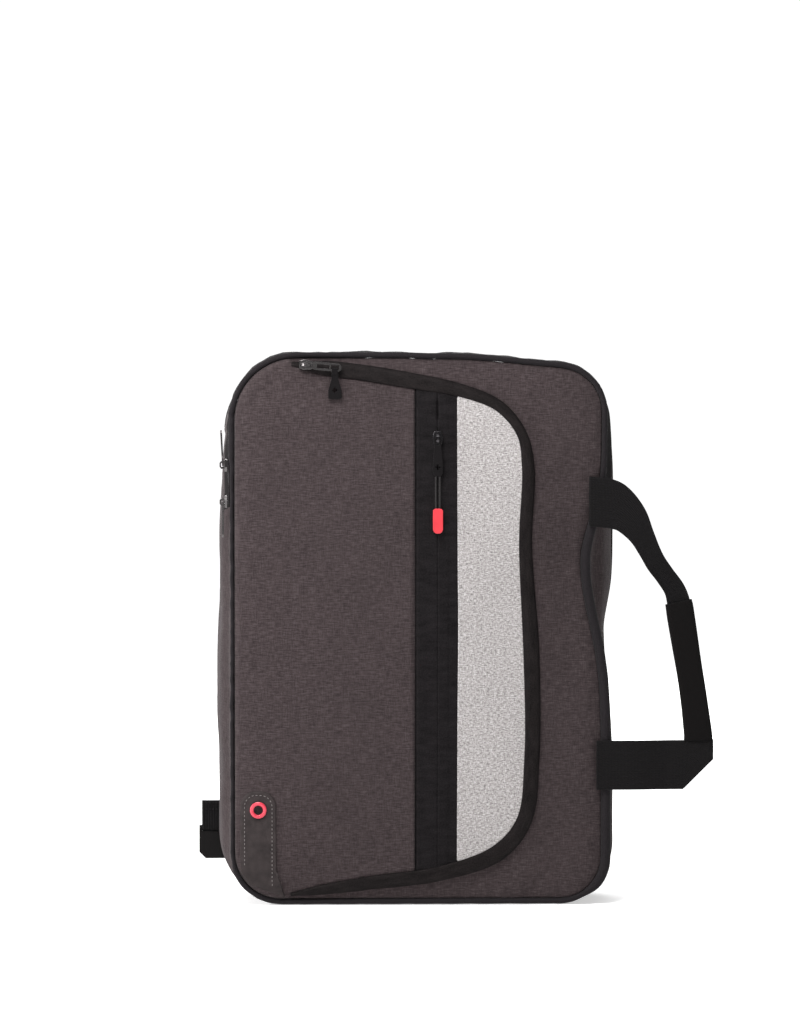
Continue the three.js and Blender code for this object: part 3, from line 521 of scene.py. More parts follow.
class Look:
    """A material under construction: a short way to add nodes and link them."""

    def __init__(self, name, roughness, specular, sheen=0.0, **settings):
        self.material = bpy.data.materials.new(name)
        self.material.use_nodes = True
        self.tree = self.material.node_tree
        self.shader = self.tree.nodes["Principled BSDF"]
        settings |= {"Roughness": roughness, "Specular IOR Level": specular, "Sheen Weight": sheen}
        for key, value in settings.items():
            self.shader.inputs[key].default_value = value

    def node(self, kind, inputs, **settings):
        made = self.tree.nodes.new(kind)
        for key, value in settings.items():
            setattr(made, key, value)
        for key, value in inputs.items():
            if isinstance(value, bpy.types.NodeSocket):
                self.tree.links.new(value, made.inputs[key])
            else:
                made.inputs[key].default_value = value
        return made

    def weave(self):
        return self.node("ShaderNodeAttribute", {}, attribute_name="cloth").outputs["Vector"]

    def place(self):
        return self.node("ShaderNodeTexCoord", {}).outputs["Object"]

    def stretched(self, source, across, along, depth=1.0):
        """Coordinates whose units are streaks of these sizes, in millimetres."""
        scale = (1 / (across * MM), 1 / (along * MM), 1 / (depth * MM))
        return self.node("ShaderNodeMapping", {"Vector": source, "Scale": scale}).outputs["Vector"]

    def noise(self, source, detail=2.0, roughness=0.5):
        inputs = {"Vector": source, "Scale": 1.0, "Detail": detail, "Roughness": roughness}
        return self.node("ShaderNodeTexNoise", inputs).outputs["Fac"]

    def math(self, operation, first, second=0.0):
        return self.node("ShaderNodeMath", {0: first, 1: second}, operation=operation).outputs[0]

    def ramp(self, value, stops):
        made = self.node("ShaderNodeValToRGB", {"Fac": value})
        elements = made.color_ramp.elements
        while len(elements) < len(stops):
            elements.new(0.5)
        for element, (position, colour) in zip(elements, stops):
            element.position = position
            element.color = colour
        return made.outputs["Color"]

    def times(self, first, second):
        """Product of two colours."""
        made = self.node("ShaderNodeMix", {"Factor": 1.0}, data_type="RGBA", blend_type="MULTIPLY")
        sides = [socket for socket in made.inputs if socket.type == "RGBA"]
        for value, socket in zip((first, second), sides):
            self.tree.links.new(value, socket)
        return [socket for socket in made.outputs if socket.type == "RGBA"][0]

    def sum(self, *weighted):
        """Sum of outputs, each with its weight."""
        total = None
        for output, weight in weighted:
            term = self.math("MULTIPLY", output, weight)
            total = term if total is None else self.math("ADD", total, term)
        return total

    def threads(self, source, pitch):
        """Height of a plain weave of this pitch, 0 to 1."""
        split = self.node("ShaderNodeSeparateXYZ", {"Vector": source})
        turns = 2 * math.pi / (pitch * MM)
        across = self.math("SINE", self.math("MULTIPLY", split.outputs["X"], turns))
        along = self.math("SINE", self.math("MULTIPLY", split.outputs["Y"], turns))
        return self.math("MULTIPLY_ADD", self.math("MULTIPLY", across, along), 0.5)

    def bump(self, height, distance, strength, under=None):
        """Normal of a relief in millimetres, over the relief of another bump."""
        inputs = {"Height": height, "Distance": distance * MM, "Strength": strength}
        if under is not None:
            inputs["Normal"] = under
        return self.node("ShaderNodeBump", inputs).outputs["Normal"]

    def link(self, output, socket):
        self.tree.links.new(output, self.shader.inputs[socket])


def heather(name, dark, middle_tone, light, streak, thread_pitch, cloudiness):
    """Melange cloth: long streaks of lighter and darker yarn both ways over a fine plain weave."""
    look = Look(name, 0.95, 0.1, sheen=0.04)
    weave = look.weave()
    long_streak, thin = streak
    across = look.noise(look.stretched(weave, long_streak, thin), 3.0, 0.6)
    along = look.noise(look.stretched(weave, thin, long_streak), 3.0, 0.6)
    grain = look.noise(look.stretched(weave, 0.9, 0.9), 2.0, 0.6)
    yarn = look.sum((across, 0.5), (along, 0.3), (grain, 0.2))
    colour = look.ramp(yarn, [(0.38, dark), (0.5, middle_tone), (0.62, light)])
    cloud = look.noise(look.stretched(weave, 34, 34), 2.0, 0.5)
    low = (1 - cloudiness,) * 3 + (1,)
    high = (1 + cloudiness,) * 3 + (1,)
    look.link(look.times(colour, look.ramp(cloud, [(0.3, low), (0.7, high)])), "Base Color")
    slubs = look.bump(yarn, 0.35, 0.5)
    look.link(look.bump(look.threads(weave, thread_pitch), 0.12, 0.5, slubs), "Normal")
    return look.material


def plain_cloth(name, colour, pitch, depth):
    look = Look(name, 0.9, 0.1, sheen=0.02)
    weave = look.weave()
    grain = look.noise(look.stretched(weave, 1.4, 1.4), 3.0, 0.6)
    look.link(look.ramp(grain, [(0.3, shaded(colour, 0.75)), (0.7, shaded(colour, 1.25))]), "Base Color")
    look.link(look.bump(look.threads(weave, pitch), depth, 0.8), "Normal")
    return look.material


def ribbed(name, colour, rib, rib_depth):
    """Webbing: ribs along its length, crossed by fine weft lines, with painted shade in the grooves between the ribs
    and a painted highlight on their crests.
    """
    look = Look(name, 0.8, 0.12, sheen=0.02)
    weave = look.weave()
    split = look.node("ShaderNodeSeparateXYZ", {"Vector": weave})
    ribs = look.math("SINE", look.math("MULTIPLY", split.outputs["Y"], 2 * math.pi / (rib * MM)))
    weft = look.math("SINE", look.math("MULTIPLY", split.outputs["X"], 2 * math.pi / (weft_pitch * MM)))
    height = look.sum((ribs, 0.5), (weft, 0.3))
    grain = look.noise(look.stretched(weave, 1.2, 1.2), 3.0, 0.6)
    # The tone follows the rib height as well as the grain: painted shade in the grooves and a painted highlight on the
    # crests.
    tone = look.sum((grain, 0.7), (height, 0.18))
    look.link(look.ramp(tone, [(0.2, shaded(colour, 0.7)), (0.6, shaded(colour, 1.35))]), "Base Color")
    look.link(look.bump(height, rib_depth, 0.8), "Normal")
    return look.material


def moulded(name, colour, roughness, grain_depth, coat=0.0, metallic=0.0, wear=0.12, specular=0.3):
    """Plastic, enamel, leather or metal with a fine grain and a slight unevenness in tone and gloss."""
    look = Look(name, roughness, specular, **{"Metallic": metallic, "Coat Weight": coat})
    place = look.place()
    grain = look.noise(look.stretched(place, 0.5, 0.5, 0.5), 3.0, 0.6)
    cloud = look.noise(look.stretched(place, 9, 9, 9), 3.0, 0.6)
    look.link(look.ramp(cloud, [(0.3, shaded(colour, 1 - wear)), (0.7, shaded(colour, 1 + wear))]), "Base Color")
    ends = {"To Min": roughness - gloss_spread, "To Max": roughness + gloss_spread}
    look.link(look.node("ShaderNodeMapRange", {"Value": cloud, **ends}).outputs["Result"], "Roughness")
    look.link(look.bump(grain, grain_depth, 0.6), "Normal")
    return look.material


def rubberised(name, colour):
    """Matt rubber on a fine cloth whose threads still show as faint pits."""
    look = Look(name, 0.75, 0.05)
    weave = look.weave()
    pits = look.noise(look.stretched(weave, 1.1, 1.1), 2.0, 0.7)
    scuffs = look.noise(look.stretched(weave, 16, 5), 4.0, 0.65)
    tone = look.sum((pits, 0.55), (scuffs, 0.45))
    look.link(look.ramp(tone, [(0.36, shaded(colour, 0.4)), (0.64, shaded(colour, 1.75))]), "Base Color")
    look.link(look.bump(look.threads(weave, 0.6), 0.05, 0.5, look.bump(pits, 0.1, 0.5)), "Normal")
    return look.material


dark_yarn = (linear(45, 38, 39), linear(61, 52, 53), linear(79, 70, 71))
light_yarn = (linear(112, 108, 107), linear(172, 167, 166), linear(212, 209, 208))
dark_heather = heather("dark_heather", *dark_yarn, (6.5, 0.95), 0.55, 0.06)
light_heather = heather("light_heather", *light_yarn, (2.6, 0.85), 0.5, 0.02)
rubberised_band = rubberised("rubberised_band", black(32, 29, 29))
rubberised_strip = rubberised("rubberised_strip", black(29, 27, 28))
patch_leather = moulded("patch_leather", black(56, 50, 50), 0.7, 0.2, specular=0.1, wear=0.3)
eyelet_red = moulded("eyelet_red", linear(226, 62, 82), 0.38, 0.02, coat=0.3)
piping_cloth = plain_cloth("piping_cloth", black(37, 34, 36), 0.8, 0.12)
zip_tape = plain_cloth("zip_tape", black(31, 28, 29), 0.7, 0.12)
back_cloth = plain_cloth("back_cloth", black(50, 47, 48), 1.4, 0.3)
webbing = ribbed("webbing", black(17, 15, 16), 1.9, 0.25)
wrap_cloth = plain_cloth("wrap_cloth", black(17, 15, 15), 0.8, 0.1)
buckle_plastic = moulded("buckle_plastic", black(20, 18, 18), 0.42, 0.03, specular=0.1)
gunmetal = moulded("gunmetal", linear(104, 101, 101), 0.24, 0.01, metallic=1.0)
black_metal = moulded("black_metal", linear(72, 70, 72), 0.22, 0.01, metallic=1.0)
puller_rubber = moulded("puller_rubber", black(24, 22, 23), 0.5, 0.03, specular=0.08)
strand_cord = ribbed("strand_cord", black(46, 44, 44), 0.5, 0.1)
tab_red = moulded("tab_red", linear(222, 56, 66), 0.45, 0.02, coat=0.15)
thread_grey = moulded("thread_grey", linear(122, 116, 115), 0.8, 0.02)
coil_black = moulded("coil_black", black(40, 38, 40), 0.4, 0.01, specular=0.2)


def paint(piece, material):
    piece.data.materials.clear()
    piece.data.materials.append(material)


def finish_piece(piece, material, slot, *nodes):
    """Gives a piece its material and hides the solids that it stands for. slot is not used."""
    paint(piece, material)
    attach(piece, "bag")
    if nodes:
        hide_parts(*nodes)


# Front of the bag

face_shares = np.concatenate([np.linspace(0.03, 0.9, 44), np.linspace(0.915, 1, 14)])


def front_panel():
    def flat(x, z, edge_gap):
        return 0

    piece = field("front_panel_cloth", front_edge, (0, middle), face_shares, flat, -panel_wall)
    finish_piece(piece, dark_heather, "dark_heather", "front_panel")


# Centreline of the curved band: shares of half the width and of the height, its width a share of bag_width
band_line = [
    (-0.678, 0.985, 0.008),
    (-0.503, 0.977, 0.038),
    (-0.308, 0.969, 0.042),
    (-0.042, 0.954, 0.042),
    (0.238, 0.935, 0.035),
    (0.434, 0.907, 0.03),
    (0.552, 0.858, 0.028),
    (0.587, 0.797, 0.035),
    (0.573, 0.657, 0.036),
    (0.605, 0.457, 0.044),
    (0.608, 0.264, 0.042),
    (0.566, 0.148, 0.043),
    (0.427, 0.09, 0.047),
    (0.119, 0.052, 0.041),
    (-0.266, 0.034, 0.037),
    (-0.531, 0.021, 0.026),
    (-0.685, 0.013, 0.008),
]


def band_stations(count):
    """Points of the band's centreline, the direction to its outer side and half its width."""
    knots = np.array([(across * half_width, up * bag_height + foot_lift) for across, up, wide in band_line])
    steps = np.sqrt(np.linalg.norm(np.diff(knots, axis=0), axis=1))
    keys = np.concatenate([[0], np.cumsum(steps)])
    line = curve_through(keys, knots)
    wide = curve_through(keys, [row[2] * bag_width / 2 for row in band_line])
    place = np.linspace(0, keys[-1], count)
    points = line(place)
    ahead = np.gradient(points, axis=0)
    ahead /= np.linalg.norm(ahead, axis=1)[:, None]
    out = np.stack([-ahead[:, 1], ahead[:, 0]], 1)
    return points, out, np.maximum(wide(place), 0.5)


band_points, band_out, band_half = band_stations(260)
band_inner = band_points - band_out * band_half[:, None]
strip_left = strip_centre - strip_width / 2
strip_right = strip_centre + strip_width / 2
pocket_top = pocket_lift + pocket_wall
pocket_floor = 0.25
band_floor = 0.15
band_tuck = 1.5


def pocket_band():
    """Folded welt: flat on the pocket's edge and rolled down to the panel on its outer side."""
    profile = [
        (-1.0, 0.2), (-0.99, 2.9), (-0.93, 3.45), (-0.8, 3.7), (-0.3, 3.8), (0.2, 3.75), (0.55, 3.5),
        (0.78, 2.9), (0.92, 2.0), (0.985, 1.0), (1.0, 0.25),
    ]
    rows = []
    floor = []
    cloth = []
    run = run_along(band_points)
    for share, lift in profile:
        x, z = (band_points + band_out * (band_half * share)[:, None]).T
        rows.append(laid(x, z, lift))
        floor.append(laid(x, z, band_floor))
        cloth.append(np.stack([run, band_half * share], 1))
    outer = np.stack(rows, 1)
    piece = slab("pocket_band_rubber", outer, np.stack(floor, 1), cloth=np.stack(cloth, 1))
    finish_piece(piece, rubberised_band, "rubberised_band", "pocket_band")


def resampled(points, spacing):
    """The closed line through these points, with points about this far apart."""
    closed = np.concatenate([points, points[:1]])
    run = run_along(closed)
    count = int(run[-1] / spacing)
    return on_line(run[-1] * np.arange(count) / count, run, closed)


def hem(field_top, edge_low, reach):
    """Lift of a field whose edge rolls down over this reach."""

    def lift(x, z, edge_gap):
        return edge_low + (field_top - edge_low) * np.sqrt(smooth(edge_gap / reach))

    return lift


def pocket_fields():
    """The two fields under the band: the dark one left of the strip, the light one right of it."""
    inner = band_inner + band_out * band_tuck
    left = inner[inner[:, 0] < strip_left]
    top = left[left[:, 1] > middle]
    bottom = left[left[:, 1] < middle]
    x, z = front_edge.T
    seam = front_edge[(x < 0) & ((x < top[0, 0]) | (z < middle)) & ((x < bottom[-1, 0]) | (z > middle))]
    turns = [(strip_left, bottom[0, 1]), (strip_left, top[-1, 1])]
    outline = resampled(np.concatenate([seam, bottom[::-1], turns, top[::-1]]), 3)
    shares = np.concatenate([np.linspace(0.03, 0.93, 44), np.linspace(0.945, 1, 12)])
    piece = field("pocket_cloth", outline, (-70, middle), shares, hem(pocket_top, 0.7, 4), pocket_floor)
    finish_piece(piece, dark_heather, "dark_heather", "pocket_panel")

    right = inner[inner[:, 0] > strip_right]
    outline = np.concatenate([right, [(strip_right, right[-1, 1]), (strip_right, right[0, 1])]])
    shares = np.concatenate([np.linspace(0.03, 0.88, 20), np.linspace(0.9, 1, 12)])
    lift = hem(pocket_top, 1.6, 2)
    piece = field("light_cloth", resampled(outline, 2.5), (55, middle), shares, lift, pocket_floor)
    finish_piece(piece, light_heather, "light_heather", "light_panel")


def zip_strip():
    """Rubberised tape with the raised line of the covered coil and its slit."""
    slit = strip_centre + slit_shift
    half = strip_width / 2 - 0.1
    across = np.array([-half, -half + 0.4, -half + 1.5, -12, -10, -8.6, -8, -7.4, -5, -3, -1.6, -1, -0.55, -0.3])
    across = np.concatenate([across, [0.0], -across[::-1]])
    x = slit + across
    x[0] = strip_left + 0.1
    x[-1] = strip_right - 0.1
    offset = x - slit
    height = 0.35 * ridge(offset, 6) - 0.45 * ridge(offset, 0.4)
    height += 0.22 * ridge(offset + 6.3, 0.7) + 0.22 * ridge(offset - 7.4, 0.7)
    height[0] -= 1.2
    height[-1] -= 1.2
    upper = band_inner[band_inner[:, 1] > middle]
    lower = band_inner[band_inner[:, 1] < middle]
    z_top = np.interp(x, *sorted_by_x(upper)) + 1.5
    z_low = np.interp(x, *sorted_by_x(lower)) - 1.5
    share = np.linspace(0, 1, 170)[:, None]
    z = z_low + (z_top - z_low) * share
    x = np.broadcast_to(x, z.shape)
    slit_end = foot_lift + bag_height * 0.875
    open_slit = smooth((z - slit_end) / 6) * smooth((slit_end + 22 - z) / 8)
    lift = pocket_top - 0.45 + height - 1.6 * open_slit * np.exp(-((offset / 0.8) ** 2))
    piece = slab("zip_strip_rubber", laid(x, z, lift), laid(x, z, pocket_floor), cloth=np.stack([x, z], 2))
    finish_piece(piece, rubberised_strip, "rubberised_strip", "zip_strip")


def sorted_by_x(points):
    order = np.argsort(points[:, 0])
    return points[order, 0], points[order, 1]


# Corner patch, its stitches and the eyelet

patch_left = -half_width + patch_inset
patch_right = patch_left + patch_width
patch_top = foot_lift + patch_height
eyelet_x = (patch_left + patch_right) / 2
eyelet_z = patch_top - eyelet_drop
stitch_inset = 3.2


def patch_outline(inward):
    """From the lower left end over the round top to the lower right end, which runs out to the right."""
    radius = patch_corner - inward
    turn = np.radians(np.linspace(180, 90, 12))
    left = patch_left + inward
    right = patch_right - inward
    top = patch_top - inward
    rise = np.linspace(0, 1, 30)
    bottom_left = np.stack([np.full(30, left), 3 + (top - radius - 3) * rise], 1)
    corner_a = np.stack([left + radius + radius * np.cos(turn), top - radius + radius * np.sin(turn)], 1)
    corner_b = np.stack([
        right - radius + radius * np.cos(np.radians(np.linspace(90, 0, 12))),
        top - radius + radius * np.sin(np.radians(np.linspace(90, 0, 12))),
    ], 1)
    fall = (top - radius) * (1 - rise) + 3 * rise
    toe = patch_toe * smooth((22 - fall) / 22) ** 2
    right_side = np.stack([right + toe, fall], 1)
    return np.concatenate([bottom_left, corner_a, corner_b, right_side])


def kept_on_face(points, limit):
    """Points drawn back along the line to the middle of the face where they pass this share of it."""
    share = share_on(front_edge, points[:, 0], points[:, 1])
    scale = np.minimum(1, limit / share)
    return np.stack([points[:, 0] * scale, middle + (points[:, 1] - middle) * scale], 1)


def ring_on_patch(shares, hole_radius, outline, floor, lift_at):
    """Slab between a round hole and an outline."""
    angle = np.arctan2(outline[:, 1] - eyelet_z, outline[:, 0] - eyelet_x)
    hole = np.stack([eyelet_x + hole_radius * np.cos(angle), eyelet_z + hole_radius * np.sin(angle)], 1)
    grid = hole[None] + (outline - hole)[None] * np.asarray(shares)[:, None, None]
    x, z = grid[..., 0], grid[..., 1]
    gap = (1 - np.asarray(shares))[:, None] * np.linalg.norm(outline - hole, axis=1)[None]
    outer = np.stack([x, front_surface(x, z, lift_at(x, z, gap)), z], 2)
    inner = np.stack([x, front_surface(x, z, floor), z], 2)
    return slab("corner_patch_leather", outer, inner, loop=True, cloth=grid)


def corner_patch():
    outline = resampled(kept_on_face(patch_outline(0), 0.995), 2)
    floor = pocket_top + 0.1
    shares = np.concatenate([np.linspace(0, 0.9, 12), np.linspace(0.92, 1, 6)])
    lift = hem(floor + patch_wall, floor + 0.2, 1.2)
    piece = ring_on_patch(shares, eyelet_radius - patch_wall, outline, floor, lift)
    finish_piece(piece, patch_leather, "patch_leather", "corner_patch")
    path = patch_outline(stitch_inset)
    path = path[share_on(front_edge, *path.T) < 0.975]
    path = laid(*path.T, floor + patch_wall + 0.12)
    stitches("patch_stitches", path, 3.1, 1.7, 0.3, thread_grey, "patch_leather")


def stitches(name, path, pitch, length, radius, material, slot):
    """Short threads along a path, each a small spindle."""
    run = run_along(path)
    middles = np.arange(pitch / 2, run[-1] - pitch / 2, pitch)
    head = on_line(middles - length / 2, run, path)
    tail = on_line(middles + length / 2, run, path)
    profile = [(0.0, 0.35), (0.2, 0.9), (0.5, 1.0), (0.8, 0.9), (1.0, 0.35)]
    sides = 6
    points = []
    faces = []
    for a, b in zip(head, tail):
        ahead = (b - a) / np.linalg.norm(b - a)
        off = np.array([0.0, -1.0, 0.0])
        if abs(ahead @ off) > 0.9:
            off = np.array([1.0, 0.0, 0.0])
        off = off - ahead * (off @ ahead)
        off /= np.linalg.norm(off)
        side = np.cross(ahead, off)
        start = len(points)
        for share, wide in profile:
            centre = a + (b - a) * share
            for k in range(sides):
                angle = 2 * math.pi * k / sides
                points.append(centre + (side * math.cos(angle) + off * math.sin(angle)) * radius * wide)
        faces += capped(len(profile), sides, start)
    piece = mesh_object(name, points, faces, np.zeros((len(points), 2)))
    finish_piece(piece, material, slot)


def lathe(name, profile, centre, sides=48):
    """Ring turned about the Y direction. The profile's rows are radius and distance towards the front."""
    angles = 2 * np.pi * np.arange(sides) / sides
    x, y, z = centre
    points = []
    for radius, front in profile:
        for angle in angles:
            points.append((x + radius * math.cos(angle), y - front, z + radius * math.sin(angle)))
    faces = grid_faces(len(profile), sides, 0, True, True)
    return mesh_object(name, points, faces, np.zeros((len(points), 2)))


def eyelet():
    low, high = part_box("eyelet")
    seat = -high.y / MM
    rise = (high.y - low.y) / MM
    flange = (eyelet_radius - eyelet_bore) / 2
    centre_radius = eyelet_bore + flange
    base = patch_wall + clearance
    profile = [(eyelet_bore, 0.0), (eyelet_radius - patch_wall - clearance, 0.0)]
    profile.append((eyelet_radius - patch_wall - clearance, base))
    for angle in np.radians(np.linspace(0, 180, 13)):
        profile.append((centre_radius + flange * math.cos(angle), base + (rise - base) * math.sin(angle) * 1.15))
    piece = lathe("eyelet_ring", profile, (eyelet_x, -seat, eyelet_z))
    finish_piece(piece, eyelet_red, "eyelet_red", "eyelet")


# Sides, seams and back

def gusset_surface(depth, lift):
    """The gusset's outer face at one depth share, with its folds, raised by lift."""
    outline = outline_at(depth)
    x, z, nx, nz = outline.T
    near_front = np.exp(-(depth + gusset_end) * 7)
    near_rear = np.exp((depth - gusset_end) * 7)
    seam = 0.9 * seam_waves(arc_length, 37 * depth) * (near_front * (1 - near_front) * 3 + near_rear * (1 - near_rear) * 3)
    soft = side_wave * side_waves(arc_length, depth * half_depth) * (1 - depth**4)
    fade = np.where(nz < -0.5, 0.15, 1.0)
    out = cloth_wall / 2 + lift + (seam + soft) * fade
    return np.stack([x + nx * out, np.full(len(x), depth * half_depth), np.maximum(0.02 + max(0, lift), z + nz * out)], 1)


side_waves = waves(23, 12, 30, 110)


def gusset():
    depths = np.linspace(-gusset_end, gusset_end, 44)
    outer = np.stack([gusset_surface(depth, 0) for depth in depths])
    inner = np.stack([gusset_surface(depth, -cloth_wall) for depth in depths])
    inner[..., 2] = np.maximum(inner[..., 2], cloth_wall)
    cloth = np.stack(np.broadcast_arrays(arc_length[None], depths[:, None] * half_depth), 2)
    piece = slab("gusset_cloth", outer, inner, loop=True, cloth=cloth)
    finish_piece(piece, dark_heather, "dark_heather", "gusset")


def piping(name, outline, y, node):
    centre = np.stack([outline[:, 0], np.full(len(outline), y), outline[:, 1]], 1)
    off = np.stack([outline[:, 2], 0 * outline[:, 2], outline[:, 3]], 1)
    side = np.broadcast_to([0.0, 1.0, 0.0], off.shape)
    x, z, nx = outline[:, 0], outline[:, 1], outline[:, 2]
    slim = 0.35 * smooth((-nx - 0.9) / 0.08) * smooth((0.86 - z / bag_height) / 0.1)
    stout = 0.85 * smooth((nx - 0.5) / 0.4) * smooth((0.8 - z / bag_height) / 0.1)
    pucker = 0.55 * smooth((-nx - 0.9) / 0.08) * seam_waves(1.5 * arc_length, 3 * y) * (y < 0)
    radius = piping_radius * (1.08 - slim + stout + 0.04 * seam_waves(arc_length, 3 * y))
    centre = centre + off * (pucker + (radius - piping_radius) * (0.8 if y < 0 else 0))[:, None]
    piece = ring_tube(name, centre, side, off, radius)
    finish_piece(piece, piping_cloth, "piping_cloth", node)


def zip_stations():
    share = front_outline[:, 1] / bag_height
    return np.flatnonzero(share > np.where(front_outline[:, 0] > 0, tape_end_right, tape_end_left))


def main_zip():
    """Tape on the gusset, with its two halves rolled up to the coil."""
    stations = zip_stations()
    depths = np.linspace(-gusset_end, tape_inner, 25)
    bulge = 0.5 * np.exp(-(((depths - zip_line) * half_depth / 2.2) ** 2))
    groove = 0.9 * np.exp(-(((depths - zip_line) * half_depth / 0.7) ** 2))
    lifts = clearance + tape_wall * 0.7 + bulge - groove
    outer = np.stack([gusset_surface(d, l)[stations] for d, l in zip(depths, lifts)], 1)
    inner = np.stack([gusset_surface(d, 0.1)[stations] for d in depths], 1)
    on_left = front_outline[stations, 0] < -half_width + 2
    open_share = smooth((front_outline[stations, 1] / bag_height - tape_end_left) / 0.14)
    taper = np.where(on_left, 0.3 + 0.7 * open_share, 1.0)[:, None]
    place = np.clip((depths - zip_line) / (tape_inner - zip_line), 0, 1)[None]
    tucked = smooth((place - taper) / 0.12) * (place > taper)
    outer[..., 0] += np.where(on_left[:, None], 2.0 * tucked, 0)
    cloth = np.stack(np.broadcast_arrays(arc_length[stations][:, None], depths[None] * half_depth), 2)
    piece = slab("main_zip_tape", outer, inner, cloth=cloth)
    finish_piece(piece, zip_tape, "zip_tape", "main_zip")
    coil_on(gusset_surface(zip_line, clearance + 0.55)[stations], front_outline[stations])


def coil_on(path, outline):
    """Interlocked teeth along a path, in two staggered rows."""
    pitch = 1.6
    run = run_along(path)
    points = []
    faces = []
    for number, place in enumerate(np.arange(pitch, run[-1] - pitch, pitch / 2)):
        centre = on_line(place, run, path)
        ahead = on_line(place + 0.5, run, path) - centre
        ahead /= np.linalg.norm(ahead)
        side = np.array([0.0, 1.0 if number % 2 else -1.0, 0.0])
        off = np.cross(ahead, side)
        outward = np.array([np.interp(place, run, outline[:, 2]), 0, np.interp(place, run, outline[:, 3])])
        off *= np.sign(off @ outward)
        start = len(points)
        for reach, half, high in ((-0.5, 0.42, 0.45), (0.3, 0.5, 0.75), (1.3, 0.42, 0.6), (1.9, 0.3, 0.1)):
            shoulder = high * 0.7
            for along, rise in ((-half, 0), (-half, shoulder), (0, high), (half, shoulder), (half, 0)):
                points.append(centre + side * reach + ahead * along + off * rise)
        faces += capped(4, 5, start)
    piece = mesh_object("main_zip_coil", points, faces, np.zeros((len(points), 2)))
    finish_piece(piece, coil_black, "zip_tape")


def quilting(x, z):
    """Depth of the channels that divide the padding of the back, which fade out before the seam."""
    width, height = x / half_width, (z - middle) / (bag_height / 2)
    inside = smooth((0.86 - np.abs(width)) / 0.1) * smooth((0.88 - np.abs(height)) / 0.08)
    spine = np.exp(-((x / quilt_channel) ** 2))
    crosswise = np.zeros_like(x)
    for share in quilt_rows:
        crosswise = np.maximum(crosswise, np.exp(-(((z - share * bag_height) / quilt_channel) ** 2)))
    return quilt_depth * inside * np.maximum(spine, crosswise)


def back_panel():
    shares = np.concatenate([np.linspace(0.04, 0.9, 34), np.linspace(0.92, 1, 12)])
    centre = np.array([0.0, middle])
    grid = centre + (rear_edge[None] - centre) * shares[:, None, None]
    x, z = grid[..., 0], grid[..., 1]
    outer = np.stack([x, back_surface(x, z, -quilting(x, z)), z], 2)
    inner = np.stack([x, back_surface(x, z, -back_padding), z], 2)
    zero = np.zeros(1)
    ends = [
        (0, back_surface(zero, zero + middle, 0)[0], middle),
        (0, back_surface(zero, zero + middle, -back_padding)[0], middle),
    ]
    piece = slab("back_cloth_panel", outer, inner, loop=True, centre=ends, cloth=grid)
    cloth = piece.data.attributes["cloth"].data
    for k in (-2, -1):
        cloth[len(cloth) + k].vector = (0, middle * MM, 0)
    finish_piece(piece, back_cloth, "back_cloth", "back_panel")


# Carrying handle: shares of reach and span, width and wall as shares of the webbing's own, angle of the outer edge
handle_line = [
    {"across": 0.0, "up": 1.0, "wide": 1.0, "thick": 1.0, "turn": 90},
    {"across": 0.19, "up": 0.989, "wide": 1.0, "thick": 1.0, "turn": 88},
    {"across": 0.29, "up": 0.964, "wide": 0.89, "thick": 1.2, "turn": 76},
    {"across": 0.396, "up": 0.907, "wide": 0.72, "thick": 1.5, "turn": 66},
    {"across": 0.465, "up": 0.84, "wide": 0.55, "thick": 1.8, "turn": 58},
    {"across": 0.534, "up": 0.773, "wide": 0.45, "thick": 2.1, "turn": 50},
    {"across": 0.61, "up": 0.722, "wide": 0.41, "thick": 2.1, "turn": 42},
    {"across": 0.69, "up": 0.668, "wide": 0.43, "thick": 2.1, "turn": 26},
    {"across": 0.726, "up": 0.618, "wide": 0.47, "thick": 2.1, "turn": 12},
    {"across": 0.75, "up": 0.55, "wide": 0.47, "thick": 2.1, "turn": 9},
    {"across": 0.795, "up": 0.42, "wide": 0.47, "thick": 2.1, "turn": 9},
    {"across": 0.84, "up": 0.29, "wide": 0.47, "thick": 2.1, "turn": 8},
    {"across": 0.874, "up": 0.17, "wide": 0.47, "thick": 2.1, "turn": 6},
    {"across": 0.889, "up": 0.095, "wide": 0.5, "thick": 2.1, "turn": 2},
    {"across": 0.868, "up": 0.05, "wide": 0.62, "thick": 2.0, "turn": -27},
    {"across": 0.774, "up": 0.026, "wide": 0.86, "thick": 1.6, "turn": -62},
    {"across": 0.7, "up": 0.01, "wide": 1.0, "thick": 1.0, "turn": -82},
    {"across": 0.49, "up": 0.005, "wide": 0.98, "thick": 1.0, "turn": -90},
    {"across": 0.19, "up": 0.0, "wide": 1.0, "thick": 1.0, "turn": -90},
    {"across": 0.063, "up": 0.0, "wide": 1.0, "thick": 1.0, "turn": -90},
]
wrap_first = 8
wrap_last = 13
root_x = half_width - root_overlap


def handle_front():
    """The front of the webbing's roots, taken from the solid."""
    return -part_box("handle_webbing")[0].y / MM - webbing_wall


def handle_frames(rows):
    """Centre, direction across, half width and half wall at these places along the handle's table."""
    table = curve_through(
        np.arange(len(handle_line)),
        [[row[key] for key in ("across", "up", "wide", "thick", "turn")] for row in handle_line],
    )
    across, up, wide, thick, turn = table(rows).T
    turn = np.radians(turn)
    wall = webbing_wall * thick
    x = root_x + across * handle_reach
    z = handle_low + up * handle_span
    y = -(front_of_roots + wall / 2) + handle_set_back * smooth((across - 0.4) / 0.4)
    return np.stack([x, y, z], 1), np.stack([np.cos(turn), 0 * turn, np.sin(turn)], 1), wide * webbing_width / 2, wall / 2


front_of_roots = handle_front()


